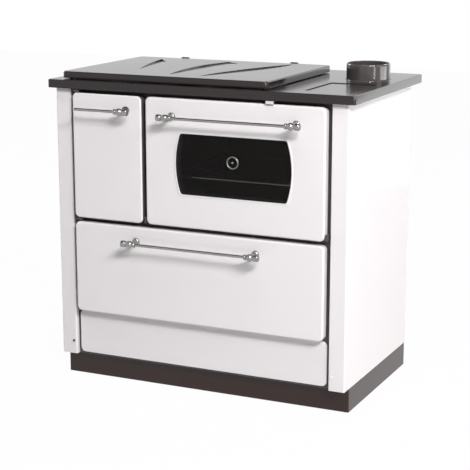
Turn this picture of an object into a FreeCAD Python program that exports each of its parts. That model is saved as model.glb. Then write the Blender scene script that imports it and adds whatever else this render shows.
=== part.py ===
import FreeCAD, Part
import os

V = FreeCAD.Vector

# Wood cookstove, free-standing. Millimetres, +Z up, front towards -Y, +X to the right.
# The origin is on the floor, in the middle of the stove's width and of its overall depth.

# Stock and fits
SHEET = 2.0
PLATE = 3.0
FIT = 0.05
LOOSE = 0.5
SLIDE_GAP = 0.3
OVERRUN = 1.0
TOUCH = 0.01

# Overall sizes
TOP_WIDTH = 900.0
TOP_DEPTH = 550.0
TOP_HEIGHT = 850.0
TOP_SKIRT = 23.0
TOP_CORNER = 8.0
TOP_OVERHANG = 20.0
BODY_SETBACK = 13.0
BODY_REAR_GAP = 35.0
PILLAR_WIDTH = 46.0
REAR_FLANGE = 22.0
FRAME_SETBACK = 28.0
PLINTH_HEIGHT = 66.0
PLINTH_SETBACK = 47.0
PLINTH_REAR_GAP = 38.0
PLINTH_LIP = 25.0
BODY_WIDTH = TOP_WIDTH - 2 * TOP_OVERHANG
BODY_DEPTH = TOP_DEPTH - BODY_SETBACK - BODY_REAR_GAP
PLINTH_DEPTH = TOP_DEPTH - PLINTH_SETBACK - PLINTH_REAR_GAP

# Front panels
FRONT_SIDE_GAP = 58.0
FRONT_WIDTH = BODY_WIDTH - 2 * FRONT_SIDE_GAP
FIRE_WIDTH = 214.0
DOOR_HEIGHT = 348.0
DOOR_TOP_GAP = 10.0
DOOR_GAP = 12.0
DOOR_DEPTH = 24.0
DOOR_CORNER = 14.0
DOOR_EDGE = 11.0
LINER_T = 3.0
GASKET_INSET = 14.0
GASKET_WIDTH = 8.0
OPENING_INSET = 26.0
DRAWER_INSET = 16.0
LOWER_GAP = 5.0
DRAWER_OVER_LOWER = 133.0
LOWER_SETBACK = 25.0
LOWER_EDGE = 2.0

# Handles
BAR_R = 4.0
BALL_R = 10.0
BALL_INSET = 26.0
KNOB_R = 9.5
KNOB_LENGTH = 14.0
NECK_R = 6.5
SLEEVE_R = 7.0
SLEEVE_RING_R = 8.5
SLEEVE_RING_LENGTH = 4.0
HANDLE_END = 48.0
BAR_STOP = 37.0
POST_R = 6.0
ROSETTE_R = 11.0
ROSETTE_T = 4.0
HANDLE_STANDOFF = 38.0
HANDLE_SIDE_GAP = 54.0
LEVER_LENGTH = 166.0
LEVER_INSET = 20.0
DOOR_HANDLE_DROP = 48.0
LEVER_DROP = 40.0
DRAWER_HANDLE_DROP = 40.0

# Reference places
OVERALL_DEPTH = TOP_DEPTH + HANDLE_STANDOFF + BALL_R
FRONT = HANDLE_STANDOFF + BALL_R - OVERALL_DEPTH / 2
BACK = FRONT + TOP_DEPTH
PILLAR_Y = FRONT + BODY_SETBACK
FRAME_Y = FRONT + FRAME_SETBACK
FRAME_BACK = FRAME_Y + PLATE
BODY_BACK = PILLAR_Y + BODY_DEPTH
REAR_Y = BODY_BACK - 2 * SHEET
HALF_BODY = BODY_WIDTH / 2
HALF_INNER = HALF_BODY - SHEET
UNDER_TOP = TOP_HEIGHT - PLATE
SKIRT_Z = TOP_HEIGHT - TOP_SKIRT
DOOR_Z1 = SKIRT_Z - DOOR_TOP_GAP
DOOR_Z0 = DOOR_Z1 - DOOR_HEIGHT
DRAWER_Z1 = DOOR_Z0 - DOOR_GAP
LOWER_HEIGHT = (DRAWER_Z1 - PLINTH_HEIGHT - 2 * LOWER_GAP - DRAWER_OVER_LOWER) / 2
DRAWER_Z0 = PLINTH_HEIGHT + LOWER_HEIGHT + 2 * LOWER_GAP
DOOR_BACK = FRONT + DOOR_DEPTH
LINER_Y = DOOR_BACK - LINER_T
FIRE_X0 = -FRONT_WIDTH / 2
FIRE_X1 = FIRE_X0 + FIRE_WIDTH
OVEN_X0 = FIRE_X1 + DOOR_GAP
OVEN_X1 = FRONT_WIDTH / 2
FIRE_MID = (FIRE_X0 + FIRE_X1) / 2
OVEN_MID = (OVEN_X0 + OVEN_X1) / 2
BAR_Y = FRONT - HANDLE_STANDOFF
LONG_HANDLE = OVEN_X1 - OVEN_X0 - 2 * HANDLE_SIDE_GAP

# Openings in the front frame
FIRE_OPEN_X0 = FIRE_X0 + OPENING_INSET
FIRE_OPEN_X1 = FIRE_X1 - OPENING_INSET
OVEN_OPEN_X0 = OVEN_X0 + OPENING_INSET
OVEN_OPEN_X1 = OVEN_X1 - OPENING_INSET
OPEN_Z0 = DOOR_Z0 + OPENING_INSET
OPEN_Z1 = DOOR_Z1 - OPENING_INSET
DRAWER_OPEN_X = FRONT_WIDTH / 2 - DRAWER_INSET
DRAWER_OPEN_Z0 = DRAWER_Z0 + DRAWER_INSET
DRAWER_OPEN_Z1 = DRAWER_Z1 - DRAWER_INSET

# Door hinges
HINGE_INSET = 10.0
HINGE_SETBACK = 9.0
PIN_R = 4.0
PIN_REACH = 26.0
BUSH_R = 6.0
BUSH_OFFSET = 12.0
BUSH_LENGTH = 14.0
BUSH_WEB = 8.0
LUG_T = 6.0
LUG_GAP = 1.5
LUG_HALF = 8.0
LUG_NOSE = 6.0
HINGE_Y = FRONT + HINGE_SETBACK
FIRE_HINGE_X = FIRE_X0 + HINGE_INSET
OVEN_HINGE_Z = DOOR_Z0 + HINGE_INSET

# Cooking top
PLATE_SIDE = 65.0
PLATE_RIGHT = 285.0
PLATE_INSET = 70.0
PLATE_REAR = 100.0
PLATE_T = 13.0
PLATE_PLAY = 1.0
LIP_DROP = 14.0
LEDGE = 10.0
RING_R = 92.0
RING_STEP = 14.0
CENTRE_R = 52.0
COOK_SETBACK = 250.0
PLATE_X0 = PLATE_SIDE - TOP_WIDTH / 2
PLATE_X1 = TOP_WIDTH / 2 - PLATE_RIGHT
PLATE_Y0 = FRONT + PLATE_INSET
PLATE_Y1 = BACK - PLATE_REAR
LEDGE_Z = UNDER_TOP - LIP_DROP
PLATE_Z0 = LEDGE_Z + PLATE
PLATE_Z1 = PLATE_Z0 + PLATE_T
COOK_Y = FRONT + COOK_SETBACK

# Cleaning cover and flue
COVER_SIDE = 160.0
COVER_WIDTH = 130.0
COVER_INSET = 60.0
COVER_COLLAR_GAP = 108.0
COVER_LEDGE = 8.0
COVER_PLAY = 0.8
COLLAR_SIDE = 95.0
COLLAR_REAR = 190.0
COLLAR_R = 60.0
COLLAR_WALL = 5.0
COLLAR_HEIGHT = 46.0
COLLAR_FLANGE = 12.0
COLLAR_NECK = 3.0
COLLAR_FLANGE_T = 5.0
FLUE_BOX_HALF = 74.0
FLUE_WINDOW_HALF = 42.0
FLUE_WINDOW_EDGE = 8.0
FLUE_WINDOW_HEIGHT = 20.0
COVER_X0 = TOP_WIDTH / 2 - COVER_SIDE
COVER_X1 = COVER_X0 + COVER_WIDTH
COVER_Y0 = FRONT + COVER_INSET
COLLAR_X = TOP_WIDTH / 2 - COLLAR_SIDE
COLLAR_Y = BACK - COLLAR_REAR
COVER_Y1 = COLLAR_Y - COVER_COLLAR_GAP
FLUE_Z1 = UNDER_TOP - COLLAR_FLANGE_T

# Cover lid
LID_SIDE = 32.0
LID_RIGHT = 250.0
LID_INSET = 24.0
LID_REAR = 70.0
LID_HEIGHT = 21.0
LID_CORNER = 14.0
LID_EDGE = 4.0
RAY_DROP = 5.0
LID_WIDTH = TOP_WIDTH - LID_SIDE - LID_RIGHT
LID_DEPTH = TOP_DEPTH - LID_INSET - LID_REAR
LID_X0 = LID_SIDE - TOP_WIDTH / 2
LID_X1 = LID_X0 + LID_WIDTH
LID_Y0 = FRONT + LID_INSET
LID_Y1 = LID_Y0 + LID_DEPTH
LID_Z1 = TOP_HEIGHT + LID_HEIGHT
# Each ray as shares of the lid's width and depth: its tip, its deep corner and its shallow corner
RAY_SHARES = (
    ((0.259, 0.254), (0.140, 0.864), (0.231, 0.825)),
    ((0.482, 0.134), (0.425, 0.912), (0.515, 0.912)),
    ((0.635, 0.110), (0.813, 0.886), (0.896, 0.851)),
)

# Lid hinges
LID_HINGE_SPAN = 354.0
LID_HINGE_SHIFT = 13.0
LID_HINGE_BACK = 12.0
LID_HINGE_RISE = 12.0
KNUCKLE_R = 6.0
KNUCKLE_PIN_R = 3.0
KNUCKLE_LENGTH = 24.0
EAR_T = 8.0
HINGE_BASE_DEPTH = 30.0
HINGE_BASE_T = 3.0
LEAF_T = 8.0
LID_HINGE_Y = LID_Y1 + LID_HINGE_BACK
LID_HINGE_Z = TOP_HEIGHT + LID_HINGE_RISE
LID_MID = (LID_X0 + LID_X1) / 2 + LID_HINGE_SHIFT

# Oven
OVEN_REAR_GAP = 70.0
RAIL_WIDTH = 10.0
RAIL_T = 5.0
TRAY_RISE = 20.0
RACK_RISE = 102.0
RACK_R = 3.0
RACK_WIRE_R = 2.0
RACK_WIRES = 15
RACK_FRONT = 16.0
RACK_REAR = 20.0
TRAY_HEIGHT = 28.0
TRAY_PLAY = 6.0
OVEN_TOP = OPEN_Z1 + SHEET
OVEN_FLOOR = OPEN_Z0 - SHEET
OVEN_BACK = REAR_Y - OVEN_REAR_GAP

# Oven window and thermometer
WINDOW_SIDE = 105.0
WINDOW_HALF_H = 82.5
WINDOW_BULGE = 14.0
TRIM_WIDTH = 5.0
TRIM_PROUD = 1.5
GLASS_T = 4.0
GLASS_LAP = 10.0
RETAINER_T = 3.0
RETAINER_LAP = 4.0
DIAL_RISE = 14.0
DIAL_R = 17.0
DIAL_FACE_R = 13.0
DIAL_PROUD = 5.0
DIAL_RECESS = 2.5
DIAL_PIN_R = 1.0
STEM_R = 3.0
STEM_LENGTH = 24.0
NEEDLE_HUB_R = 2.5
NEEDLE_LENGTH = 11.0
NEEDLE_HALF = 0.6
NEEDLE_T = 0.8
WINDOW_HALF_W = (OVEN_X1 - OVEN_X0) / 2 - WINDOW_SIDE
WINDOW_Z = (DOOR_Z0 + DOOR_Z1) / 2
DIAL_Z = WINDOW_Z + DIAL_RISE

# Firebox
CASING_SIDE = 50.0
CASING_REAR_GAP = 35.0
CASING_LEDGE = 20.0
CASING_LEDGE_T = 6.0
GRATE_RISE = 95.0
GRATE_FRAME_T = 12.0
GRATE_T = 12.0
GRATE_BARS = 9
BRICK_T = 32.0
BRICK_GAP = 3.0
GRATE_LAP = 8.0
GRATE_PLAY = 5.0
GRATE_FRONT = 32.0
ASH_PLAY = 4.0
ASH_HEIGHT = 78.0
ASH_FRONT = 11.0
ASH_REAR = 22.0
ASH_TAB_HALF = 22.0
ASH_TAB_T = 6.0
ASH_TAB_REACH = 5.0
ASH_TAB_DROP = 26.0
CASING_X0 = FIRE_OPEN_X0 - CASING_SIDE
CASING_X1 = OVEN_OPEN_X0 - SHEET - CASING_LEDGE
CASING_Y1 = REAR_Y - CASING_REAR_GAP
CASING_TOP = SKIRT_Z
GRATE_FRAME_Z = OPEN_Z0 + GRATE_RISE + CASING_LEDGE_T
GRATE_Z = GRATE_FRAME_Z + GRATE_FRAME_T
FIREBOX_X0 = CASING_X0 + SHEET + BRICK_T
FIREBOX_X1 = CASING_X1 - SHEET - BRICK_T
FIREBOX_Y1 = CASING_Y1 - SHEET - BRICK_T

# Fire door inside
SHIELD_T = 10.0
SHIELD_INSET = 8.0
SHIELD_TOP_DROP = 30.0
SHIELD_BOTTOM = 66.0
AIR_SLOTS = 4
AIR_SLOT_WIDTH = 10.0
AIR_SLOT_PITCH = 22.0
AIR_SLOT_HEIGHT = 20.0
AIR_RISE = 32.0
AIR_HALF = 50.0
AIR_HALF_HEIGHT = 15.0
AIR_TRAVEL = 11.0
AIR_T = 2.0
AIR_GUIDE = 4.0
AIR_GUIDE_LAP = 2.0
AIR_KNOB_R = 5.0
AIR_KNOB_LENGTH = 9.0
AIR_Z = OPEN_Z0 + AIR_RISE
INLET_LENGTH = 40.0
INLET_WIDTH = 8.0

# Latch on the fire door
TONGUE_Y = 4.0
TONGUE_T = 4.0
TONGUE_HUB_R = 9.0
NOSE_R = 4.0
NOSE_REACH = 12.0
LEVER_X1 = FIRE_X1 - LEVER_INSET
LEVER_X0 = LEVER_X1 - LEVER_LENGTH
SPINDLE_X = LEVER_X1 - BALL_INSET
LEVER_Z = DOOR_Z1 - LEVER_DROP
TONGUE_Y0 = FRAME_Y + TONGUE_Y
TONGUE_Y1 = TONGUE_Y0 + TONGUE_T

# Wood drawer and base
DRAWER_PLAY = 4.0
DRAWER_BOX_LIFT = 2.0
DRAWER_HEADROOM = 43.0
DRAWER_REAR_GAP = 51.0
RUNNER_T = 3.0
RUNNER_LEG = 4.0
RUNNER_FOOT = 35.0
RUNNER_RISE = 24.0
RUNNER_DROP = 10.0
DECK_DROP = 44.0
SPACER_HALF = 10.0
SPACER_SHARES = (0.18, 0.5, 0.8)
DECK_Z1 = OVEN_FLOOR - DECK_DROP + SHEET
DECK_Z0 = DECK_Z1 - SHEET
BOX_X = DRAWER_OPEN_X - DRAWER_PLAY
BOX_Z0 = DRAWER_OPEN_Z0 + DRAWER_BOX_LIFT
BOX_Z1 = DRAWER_OPEN_Z1 - DRAWER_HEADROOM
BOX_Y1 = REAR_Y - DRAWER_REAR_GAP
RUNNER_Z = BOX_Z0 - SLIDE_GAP

# Insulation between the smoke passages and the side panels
SLAB_T = 18.0
SLAB_Z0 = DECK_Z1

# Start-up damper
DAMPER_REACH = 61.0
DAMPER_HALF = 6.0
DAMPER_T = 5.0
DAMPER_DROP = 3.0
DAMPER_KNOB_HALF = 11.0
DAMPER_KNOB_HEIGHT = 8.0
DAMPER_KNOB_RISE = 2.0
DAMPER_KNOB_T = 5.0
DAMPER_GAP = 1.0
DAMPER_ARM = 14.0
DAMPER_LAP = 5.0
DAMPER_EDGE = 4.0
DAMPER_Z1 = SKIRT_Z - DAMPER_DROP
DAMPER_Z0 = DAMPER_Z1 - DAMPER_T
FLUE_X0 = COLLAR_X - FLUE_BOX_HALF
DAMPER_X = FLUE_X0 - DAMPER_REACH
FLUE_X1 = HALF_INNER - SLAB_T
FLUE_Y0 = COLLAR_Y - FLUE_BOX_HALF
FLUE_Y1 = COLLAR_Y + FLUE_BOX_HALF

# Screws
SCREW_R = 3.5
SCREW_T = 2.0
PILLAR_SCREW_INSET = 9.0
PILLAR_SCREW_RISE = 38.0
REAR_SCREW_INSET = 11.0
REAR_SCREW_SHARES = (0.08, 0.36, 0.64, 0.92)


def block(x0, x1, y0, y1, z0, z1):
    return Part.makeBox(x1 - x0, y1 - y0, z1 - z0, V(x0, y0, z0))


def rod_x(x0, x1, y, z, r):
    return Part.makeCylinder(r, x1 - x0, V(x0, y, z), V(1, 0, 0))


def rod_y(x, y0, y1, z, r):
    return Part.makeCylinder(r, y1 - y0, V(x, y0, z), V(0, 1, 0))


def rod_z(x, y, z0, z1, r):
    return Part.makeCylinder(r, z1 - z0, V(x, y, z0), V(0, 0, 1))


def fuse(shapes):
    return shapes[0].multiFuse(shapes[1:]).removeSplitter()


# A slab that faces the front, with rounded corners and a rolled front edge
def slab(x0, x1, y0, y1, z0, z1, corner, edge):
    body = block(x0, x1, y0, y1, z0, z1)
    deep = [e for e in body.Edges if abs(e.Vertexes[0].Y - e.Vertexes[-1].Y) > TOUCH]
    body = body.makeFillet(corner, deep)
    if edge == 0:
        return body
    front = [e for e in body.Edges if all(abs(v.Y - y0) < TOUCH for v in e.Vertexes)]
    return body.makeFillet(edge, front)


# A pressed sheet pan, open at the back
def pan(x0, x1, z0, z1):
    outer = slab(x0, x1, FRONT, DOOR_BACK, z0, z1, DOOR_CORNER, DOOR_EDGE)
    inner = slab(x0 + SHEET, x1 - SHEET, FRONT + SHEET, DOOR_BACK + OVERRUN, z0 + SHEET, z1 - SHEET,
                 DOOR_CORNER - SHEET, DOOR_EDGE - SHEET)
    return outer.cut(inner)


# The flat plate that closes the back of a pan
def liner(x0, x1, z0, z1):
    return slab(x0 + SHEET, x1 - SHEET, LINER_Y, DOOR_BACK, z0 + SHEET, z1 - SHEET, DOOR_CORNER - SHEET, 0)


# A square ring of sealing rope between a door and the front frame
def gasket(x0, x1, z0, z1):
    inner = GASKET_INSET + GASKET_WIDTH
    ring = block(x0 + GASKET_INSET, x1 - GASKET_INSET, DOOR_BACK, FRAME_Y, z0 + GASKET_INSET,
                 z1 - GASKET_INSET)
    return ring.cut(block(x0 + inner, x1 - inner, DOOR_BACK - OVERRUN, FRAME_Y + OVERRUN, z0 + inner,
                          z1 - inner))


# An open-topped box of sheet
def tub(x0, x1, y0, y1, z0, z1):
    outer = block(x0, x1, y0, y1, z0, z1)
    return outer.cut(block(x0 + SHEET, x1 - SHEET, y0 + SHEET, y1 - SHEET, z0 + SHEET, z1 + OVERRUN))


# The right-hand end of a bar handle, turned in one piece: knob, neck, ball and ringed sleeve with the
# bar's socket. Its post runs from the ball back to back_y
def handle_end(end_x, z, back_y):
    ball_x = end_x - BALL_INSET
    knob_x = end_x - KNOB_LENGTH
    sleeve_x = end_x - HANDLE_END
    ring_x = sleeve_x + SLEEVE_RING_LENGTH
    stop_x = end_x - BAR_STOP
    neck_x = ball_x + (BALL_R ** 2 - NECK_R ** 2) ** 0.5
    root_x = ball_x - (BALL_R ** 2 - SLEEVE_R ** 2) ** 0.5
    rim = [(end_x, 0), (end_x, KNOB_R), (knob_x, KNOB_R), (knob_x, NECK_R), (neck_x, NECK_R)]
    tail = [(root_x, SLEEVE_R), (ring_x, SLEEVE_R), (ring_x, SLEEVE_RING_R), (sleeve_x, SLEEVE_RING_R)]
    tail += [(sleeve_x, BAR_R + FIT), (stop_x, BAR_R + FIT), (stop_x, 0)]
    rim = [V(x, BAR_Y - r, z) for x, r in rim]
    tail = [V(x, BAR_Y - r, z) for x, r in tail]
    sides = [Part.makeLine(a, b) for a, b in zip(rim, rim[1:])]
    sides.append(Part.Arc(rim[-1], V(ball_x, BAR_Y - BALL_R, z), tail[0]).toShape())
    sides += [Part.makeLine(a, b) for a, b in zip(tail, tail[1:] + rim[:1])]
    turned = Part.Face(Part.Wire(sides)).revolve(rim[0], V(1, 0, 0), 360)
    return fuse([turned, rod_y(ball_x, BAR_Y, back_y, z, POST_R)])


# A long handle: its bar, and its two ends with their rosettes
def long_handle(mid_x, z):
    end_x = LONG_HANDLE / 2
    bar_x = end_x - BAR_STOP
    bar = rod_x(mid_x - bar_x, mid_x + bar_x, BAR_Y, z, BAR_R)
    rosette = rod_y(mid_x + end_x - BALL_INSET, FRONT - ROSETTE_T, FRONT, z, ROSETTE_R)
    right = fuse([handle_end(mid_x + end_x, z, FRONT), rosette])
    return bar, Part.makeCompound([right, right.mirror(V(mid_x, 0, 0), V(1, 0, 0))])


# The window's outline, straight above and below and bowed at the sides, as a solid from y0 to y1
def window(grow, y0, y1):
    x = WINDOW_HALF_W + grow
    z = WINDOW_HALF_H + grow
    bow = x + WINDOW_BULGE
    top = Part.makeLine(V(OVEN_MID - x, y0, WINDOW_Z + z), V(OVEN_MID + x, y0, WINDOW_Z + z))
    right = Part.Arc(V(OVEN_MID + x, y0, WINDOW_Z + z), V(OVEN_MID + bow, y0, WINDOW_Z),
                     V(OVEN_MID + x, y0, WINDOW_Z - z)).toShape()
    bottom = Part.makeLine(V(OVEN_MID + x, y0, WINDOW_Z - z), V(OVEN_MID - x, y0, WINDOW_Z - z))
    left = Part.Arc(V(OVEN_MID - x, y0, WINDOW_Z - z), V(OVEN_MID - bow, y0, WINDOW_Z),
                    V(OVEN_MID - x, y0, WINDOW_Z + z)).toShape()
    return Part.Face(Part.Wire([top, right, bottom, left])).extrude(V(0, y1 - y0, 0))


# A wedge that is deepest along its left edge; grow widens it by a wall's thickness
def ray(shares, grow):
    points = [V(LID_X0 + LID_WIDTH * u, LID_Y0 + LID_DEPTH * v, 0) for u, v in shares]
    middle = (points[0] + points[1] + points[2]) * (1 / 3)
    wide = [p + (p - middle).normalize() * grow for p in points]
    low_z = (LID_Z1 - grow, LID_Z1 - RAY_DROP - grow, LID_Z1 - grow)
    low = [V(p.x, p.y, z) for p, z in zip(wide, low_z)]
    high = [V(p.x, p.y, LID_Z1 + OVERRUN) for p in wide]
    faces = [Part.Face(Part.makePolygon(low + low[:1])), Part.Face(Part.makePolygon(high + high[:1]))]
    for i in range(len(low)):
        j = (i + 1) % len(low)
        faces.append(Part.Face(Part.makePolygon([low[i], low[j], high[j], high[i], low[i]])))
    return Part.makeSolid(Part.makeShell(faces))


nodes = {}

# Plinth: folded sheet, lipped in at the top and at the floor
plinth_y0 = FRONT + PLINTH_SETBACK
plinth_y1 = plinth_y0 + PLINTH_DEPTH
plinth = block(-HALF_BODY, HALF_BODY, plinth_y0, plinth_y1, 0, PLINTH_HEIGHT)
plinth = plinth.cut(block(SHEET - HALF_BODY, HALF_BODY - SHEET, plinth_y0 + SHEET, plinth_y1 - SHEET,
                          SHEET, PLINTH_HEIGHT - SHEET))
nodes["plinth"] = plinth.cut(block(PLINTH_LIP - HALF_BODY, HALF_BODY - PLINTH_LIP, plinth_y0 + PLINTH_LIP,
                                   plinth_y1 - PLINTH_LIP, -OVERRUN, PLINTH_HEIGHT + OVERRUN))

# Base pan: the sheet floor of the body
BASE_Z1 = PLINTH_HEIGHT + SHEET
nodes["base_pan"] = block(-HALF_INNER, HALF_INNER, FRAME_BACK, REAR_Y, PLINTH_HEIGHT, BASE_Z1)

# Side panels: one sheet each, folded at the front into a pillar and at the back into a flange
wall = block(HALF_INNER, HALF_BODY, PILLAR_Y, BODY_BACK, PLINTH_HEIGHT, UNDER_TOP)
pillar_x = HALF_BODY - PILLAR_WIDTH
pillar = block(pillar_x, HALF_BODY, PILLAR_Y, PILLAR_Y + SHEET, PLINTH_HEIGHT, UNDER_TOP)
lip = block(pillar_x, pillar_x + SHEET, PILLAR_Y, FRAME_Y, PLINTH_HEIGHT, UNDER_TOP)
flange = block(HALF_BODY - REAR_FLANGE, HALF_BODY, BODY_BACK - SHEET, BODY_BACK, PLINTH_HEIGHT, UNDER_TOP)
nodes["side_panel_right"] = fuse([wall, pillar, lip, flange])
nodes["side_panel_left"] = nodes["side_panel_right"].mirror(V(0, 0, 0), V(1, 0, 0))

# Back panel
nodes["back_panel"] = block(-HALF_INNER, HALF_INNER, REAR_Y, REAR_Y + SHEET, PLINTH_HEIGHT, UNDER_TOP)

# Front frame: plate with the fire, oven and drawer openings and a notch for the damper rod
frame = block(-HALF_INNER, HALF_INNER, FRAME_Y, FRAME_BACK, PLINTH_HEIGHT, UNDER_TOP)
cut_y0 = FRAME_Y - OVERRUN
cut_y1 = FRAME_BACK + OVERRUN
frame = frame.cut(block(FIRE_OPEN_X0, FIRE_OPEN_X1, cut_y0, cut_y1, OPEN_Z0, OPEN_Z1))
frame = frame.cut(block(OVEN_OPEN_X0, OVEN_OPEN_X1, cut_y0, cut_y1, OPEN_Z0, OPEN_Z1))
frame = frame.cut(block(-DRAWER_OPEN_X, DRAWER_OPEN_X, cut_y0, cut_y1, DRAWER_OPEN_Z0, DRAWER_OPEN_Z1))
nodes["front_frame"] = frame.cut(block(DAMPER_X - DAMPER_HALF - SLIDE_GAP,
                                       DAMPER_X + DAMPER_HALF + SLIDE_GAP,
                                       cut_y0, cut_y1, DAMPER_Z0 - SLIDE_GAP, DAMPER_Z1 + SLIDE_GAP))

# Lower front panel, fixed on the frame under the drawer
nodes["lower_front_panel"] = slab(FIRE_X0, OVEN_X1, FRONT + LOWER_SETBACK, FRAME_Y,
                                  PLINTH_HEIGHT + LOWER_GAP,
                                  DRAWER_Z0 - LOWER_GAP, DOOR_CORNER, LOWER_EDGE)

# Top frame: sheet with a skirt, a ledge for the hotplate, a ledge for the cleaning cover and the flue hole
top = block(-TOP_WIDTH / 2, TOP_WIDTH / 2, FRONT, BACK, SKIRT_Z, TOP_HEIGHT)
top = top.makeFillet(TOP_CORNER, [e for e in top.Edges if abs(e.Vertexes[0].Z - e.Vertexes[-1].Z) > TOUCH])
top = top.cut(block(PLATE - TOP_WIDTH / 2, TOP_WIDTH / 2 - PLATE, FRONT + PLATE, BACK - PLATE,
                    SKIRT_Z - OVERRUN, UNDER_TOP))
hanger = block(PLATE_X0 - PLATE, PLATE_X1 + PLATE, PLATE_Y0 - PLATE, PLATE_Y1 + PLATE, LEDGE_Z, UNDER_TOP)
cover_ledge = block(COVER_X0 - COVER_LEDGE, COVER_X1 + COVER_LEDGE, COVER_Y0 - COVER_LEDGE,
                    COVER_Y1 + COVER_LEDGE, UNDER_TOP - PLATE, UNDER_TOP)
top = fuse([top, hanger, cover_ledge])
top = top.cut(block(PLATE_X0, PLATE_X1, PLATE_Y0, PLATE_Y1, PLATE_Z0, TOP_HEIGHT + OVERRUN))
top = top.cut(block(PLATE_X0 + LEDGE, PLATE_X1 - LEDGE, PLATE_Y0 + LEDGE, PLATE_Y1 - LEDGE,
                    LEDGE_Z - OVERRUN, PLATE_Z0 + OVERRUN))
top = top.cut(block(COVER_X0 - COVER_PLAY, COVER_X1 + COVER_PLAY, COVER_Y0 - COVER_PLAY,
                    COVER_Y1 + COVER_PLAY, UNDER_TOP, TOP_HEIGHT + OVERRUN))
top = top.cut(block(COVER_X0 + COVER_LEDGE, COVER_X1 - COVER_LEDGE, COVER_Y0 + COVER_LEDGE,
                    COVER_Y1 - COVER_LEDGE, UNDER_TOP - PLATE - OVERRUN, UNDER_TOP + OVERRUN))
nodes["top_frame"] = top.cut(rod_z(COLLAR_X, COLLAR_Y, UNDER_TOP - OVERRUN, TOP_HEIGHT + OVERRUN,
                                   COLLAR_R + COLLAR_NECK + LOOSE))

# Cleaning cover: a loose plate flush in the top, over the smoke passage beside the oven
nodes["cleaning_cover"] = block(COVER_X0, COVER_X1, COVER_Y0, COVER_Y1, UNDER_TOP, TOP_HEIGHT)

# Hotplate with a lift-out ring and centre over the fire
hotplate = block(PLATE_X0 + PLATE_PLAY, PLATE_X1 - PLATE_PLAY, PLATE_Y0 + PLATE_PLAY, PLATE_Y1 - PLATE_PLAY,
                 PLATE_Z0, PLATE_Z1)
ring_z = PLATE_Z0 + PLATE_T / 2
centre_z = PLATE_Z1 - PLATE_T / 4
hotplate = hotplate.cut(rod_z(FIRE_MID, COOK_Y, ring_z, PLATE_Z1 + OVERRUN, RING_R))
nodes["hotplate"] = hotplate.cut(rod_z(FIRE_MID, COOK_Y, PLATE_Z0 - OVERRUN, ring_z + OVERRUN,
                                       RING_R - RING_STEP))
ring = rod_z(FIRE_MID, COOK_Y, ring_z, PLATE_Z1, RING_R - LOOSE)
ring = ring.cut(rod_z(FIRE_MID, COOK_Y, centre_z, PLATE_Z1 + OVERRUN, CENTRE_R))
nodes["hotplate_ring"] = ring.cut(rod_z(FIRE_MID, COOK_Y, ring_z - OVERRUN, centre_z + OVERRUN,
                                        CENTRE_R - RING_STEP))
nodes["hotplate_centre"] = rod_z(FIRE_MID, COOK_Y, centre_z, PLATE_Z1, CENTRE_R - LOOSE)

# Flue collar: cast ring with a thicker neck in the top's hole and a flange under the top
collar = rod_z(COLLAR_X, COLLAR_Y, FLUE_Z1, TOP_HEIGHT + COLLAR_HEIGHT, COLLAR_R)
neck = rod_z(COLLAR_X, COLLAR_Y, FLUE_Z1, TOP_HEIGHT, COLLAR_R + COLLAR_NECK)
collar = fuse([collar, neck, rod_z(COLLAR_X, COLLAR_Y, FLUE_Z1, UNDER_TOP, COLLAR_R + COLLAR_FLANGE)])
nodes["flue_collar"] = collar.cut(rod_z(COLLAR_X, COLLAR_Y, FLUE_Z1 - OVERRUN,
                                        TOP_HEIGHT + COLLAR_HEIGHT + OVERRUN,
                                        COLLAR_R - COLLAR_WALL))

# Flue box: sheet walls from the oven's roof up to the collar, with the start-up window on its left
flue_window_z0 = OVEN_TOP + FLUE_WINDOW_EDGE
flue_window_z1 = flue_window_z0 + FLUE_WINDOW_HEIGHT
flue = block(FLUE_X0, FLUE_X1, FLUE_Y0, FLUE_Y1, OVEN_TOP, FLUE_Z1)
flue = flue.cut(block(FLUE_X0 + SHEET, FLUE_X1 - SHEET, FLUE_Y0 + SHEET, FLUE_Y1 - SHEET,
                      OVEN_TOP - OVERRUN, FLUE_Z1 + OVERRUN))
nodes["flue_box"] = flue.cut(block(FLUE_X0 - OVERRUN, FLUE_X0 + SHEET + OVERRUN,
                                   COLLAR_Y - FLUE_WINDOW_HALF,
                                   COLLAR_Y + FLUE_WINDOW_HALF, flue_window_z0,
                                   flue_window_z1))

# Start-up damper: knob, flat rod, arm and a plate that covers the flue box window
damper_x1 = FLUE_X0 - SLIDE_GAP
damper_half = FLUE_WINDOW_HALF + DAMPER_LAP
damper_knob_z1 = DAMPER_Z1 + DAMPER_KNOB_RISE
damper_knob = block(DAMPER_X - DAMPER_KNOB_HALF, DAMPER_X + DAMPER_KNOB_HALF,
                    FRONT - DAMPER_GAP - DAMPER_KNOB_T,
                    FRONT - DAMPER_GAP, damper_knob_z1 - DAMPER_KNOB_HEIGHT, damper_knob_z1)
damper_rod = block(DAMPER_X - DAMPER_HALF, DAMPER_X + DAMPER_HALF, FRONT - DAMPER_GAP - SHEET, COLLAR_Y,
                   DAMPER_Z0, DAMPER_Z1)
damper_arm = block(DAMPER_X - DAMPER_HALF, damper_x1, COLLAR_Y - DAMPER_ARM, COLLAR_Y, DAMPER_Z0, DAMPER_Z1)
damper_plate = block(damper_x1 - SHEET, damper_x1, COLLAR_Y - damper_half, COLLAR_Y + damper_half,
                     OVEN_TOP + SLIDE_GAP, flue_window_z1 + DAMPER_EDGE)
nodes["damper_slide"] = fuse([damper_knob, damper_rod, damper_arm, damper_plate])

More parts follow.
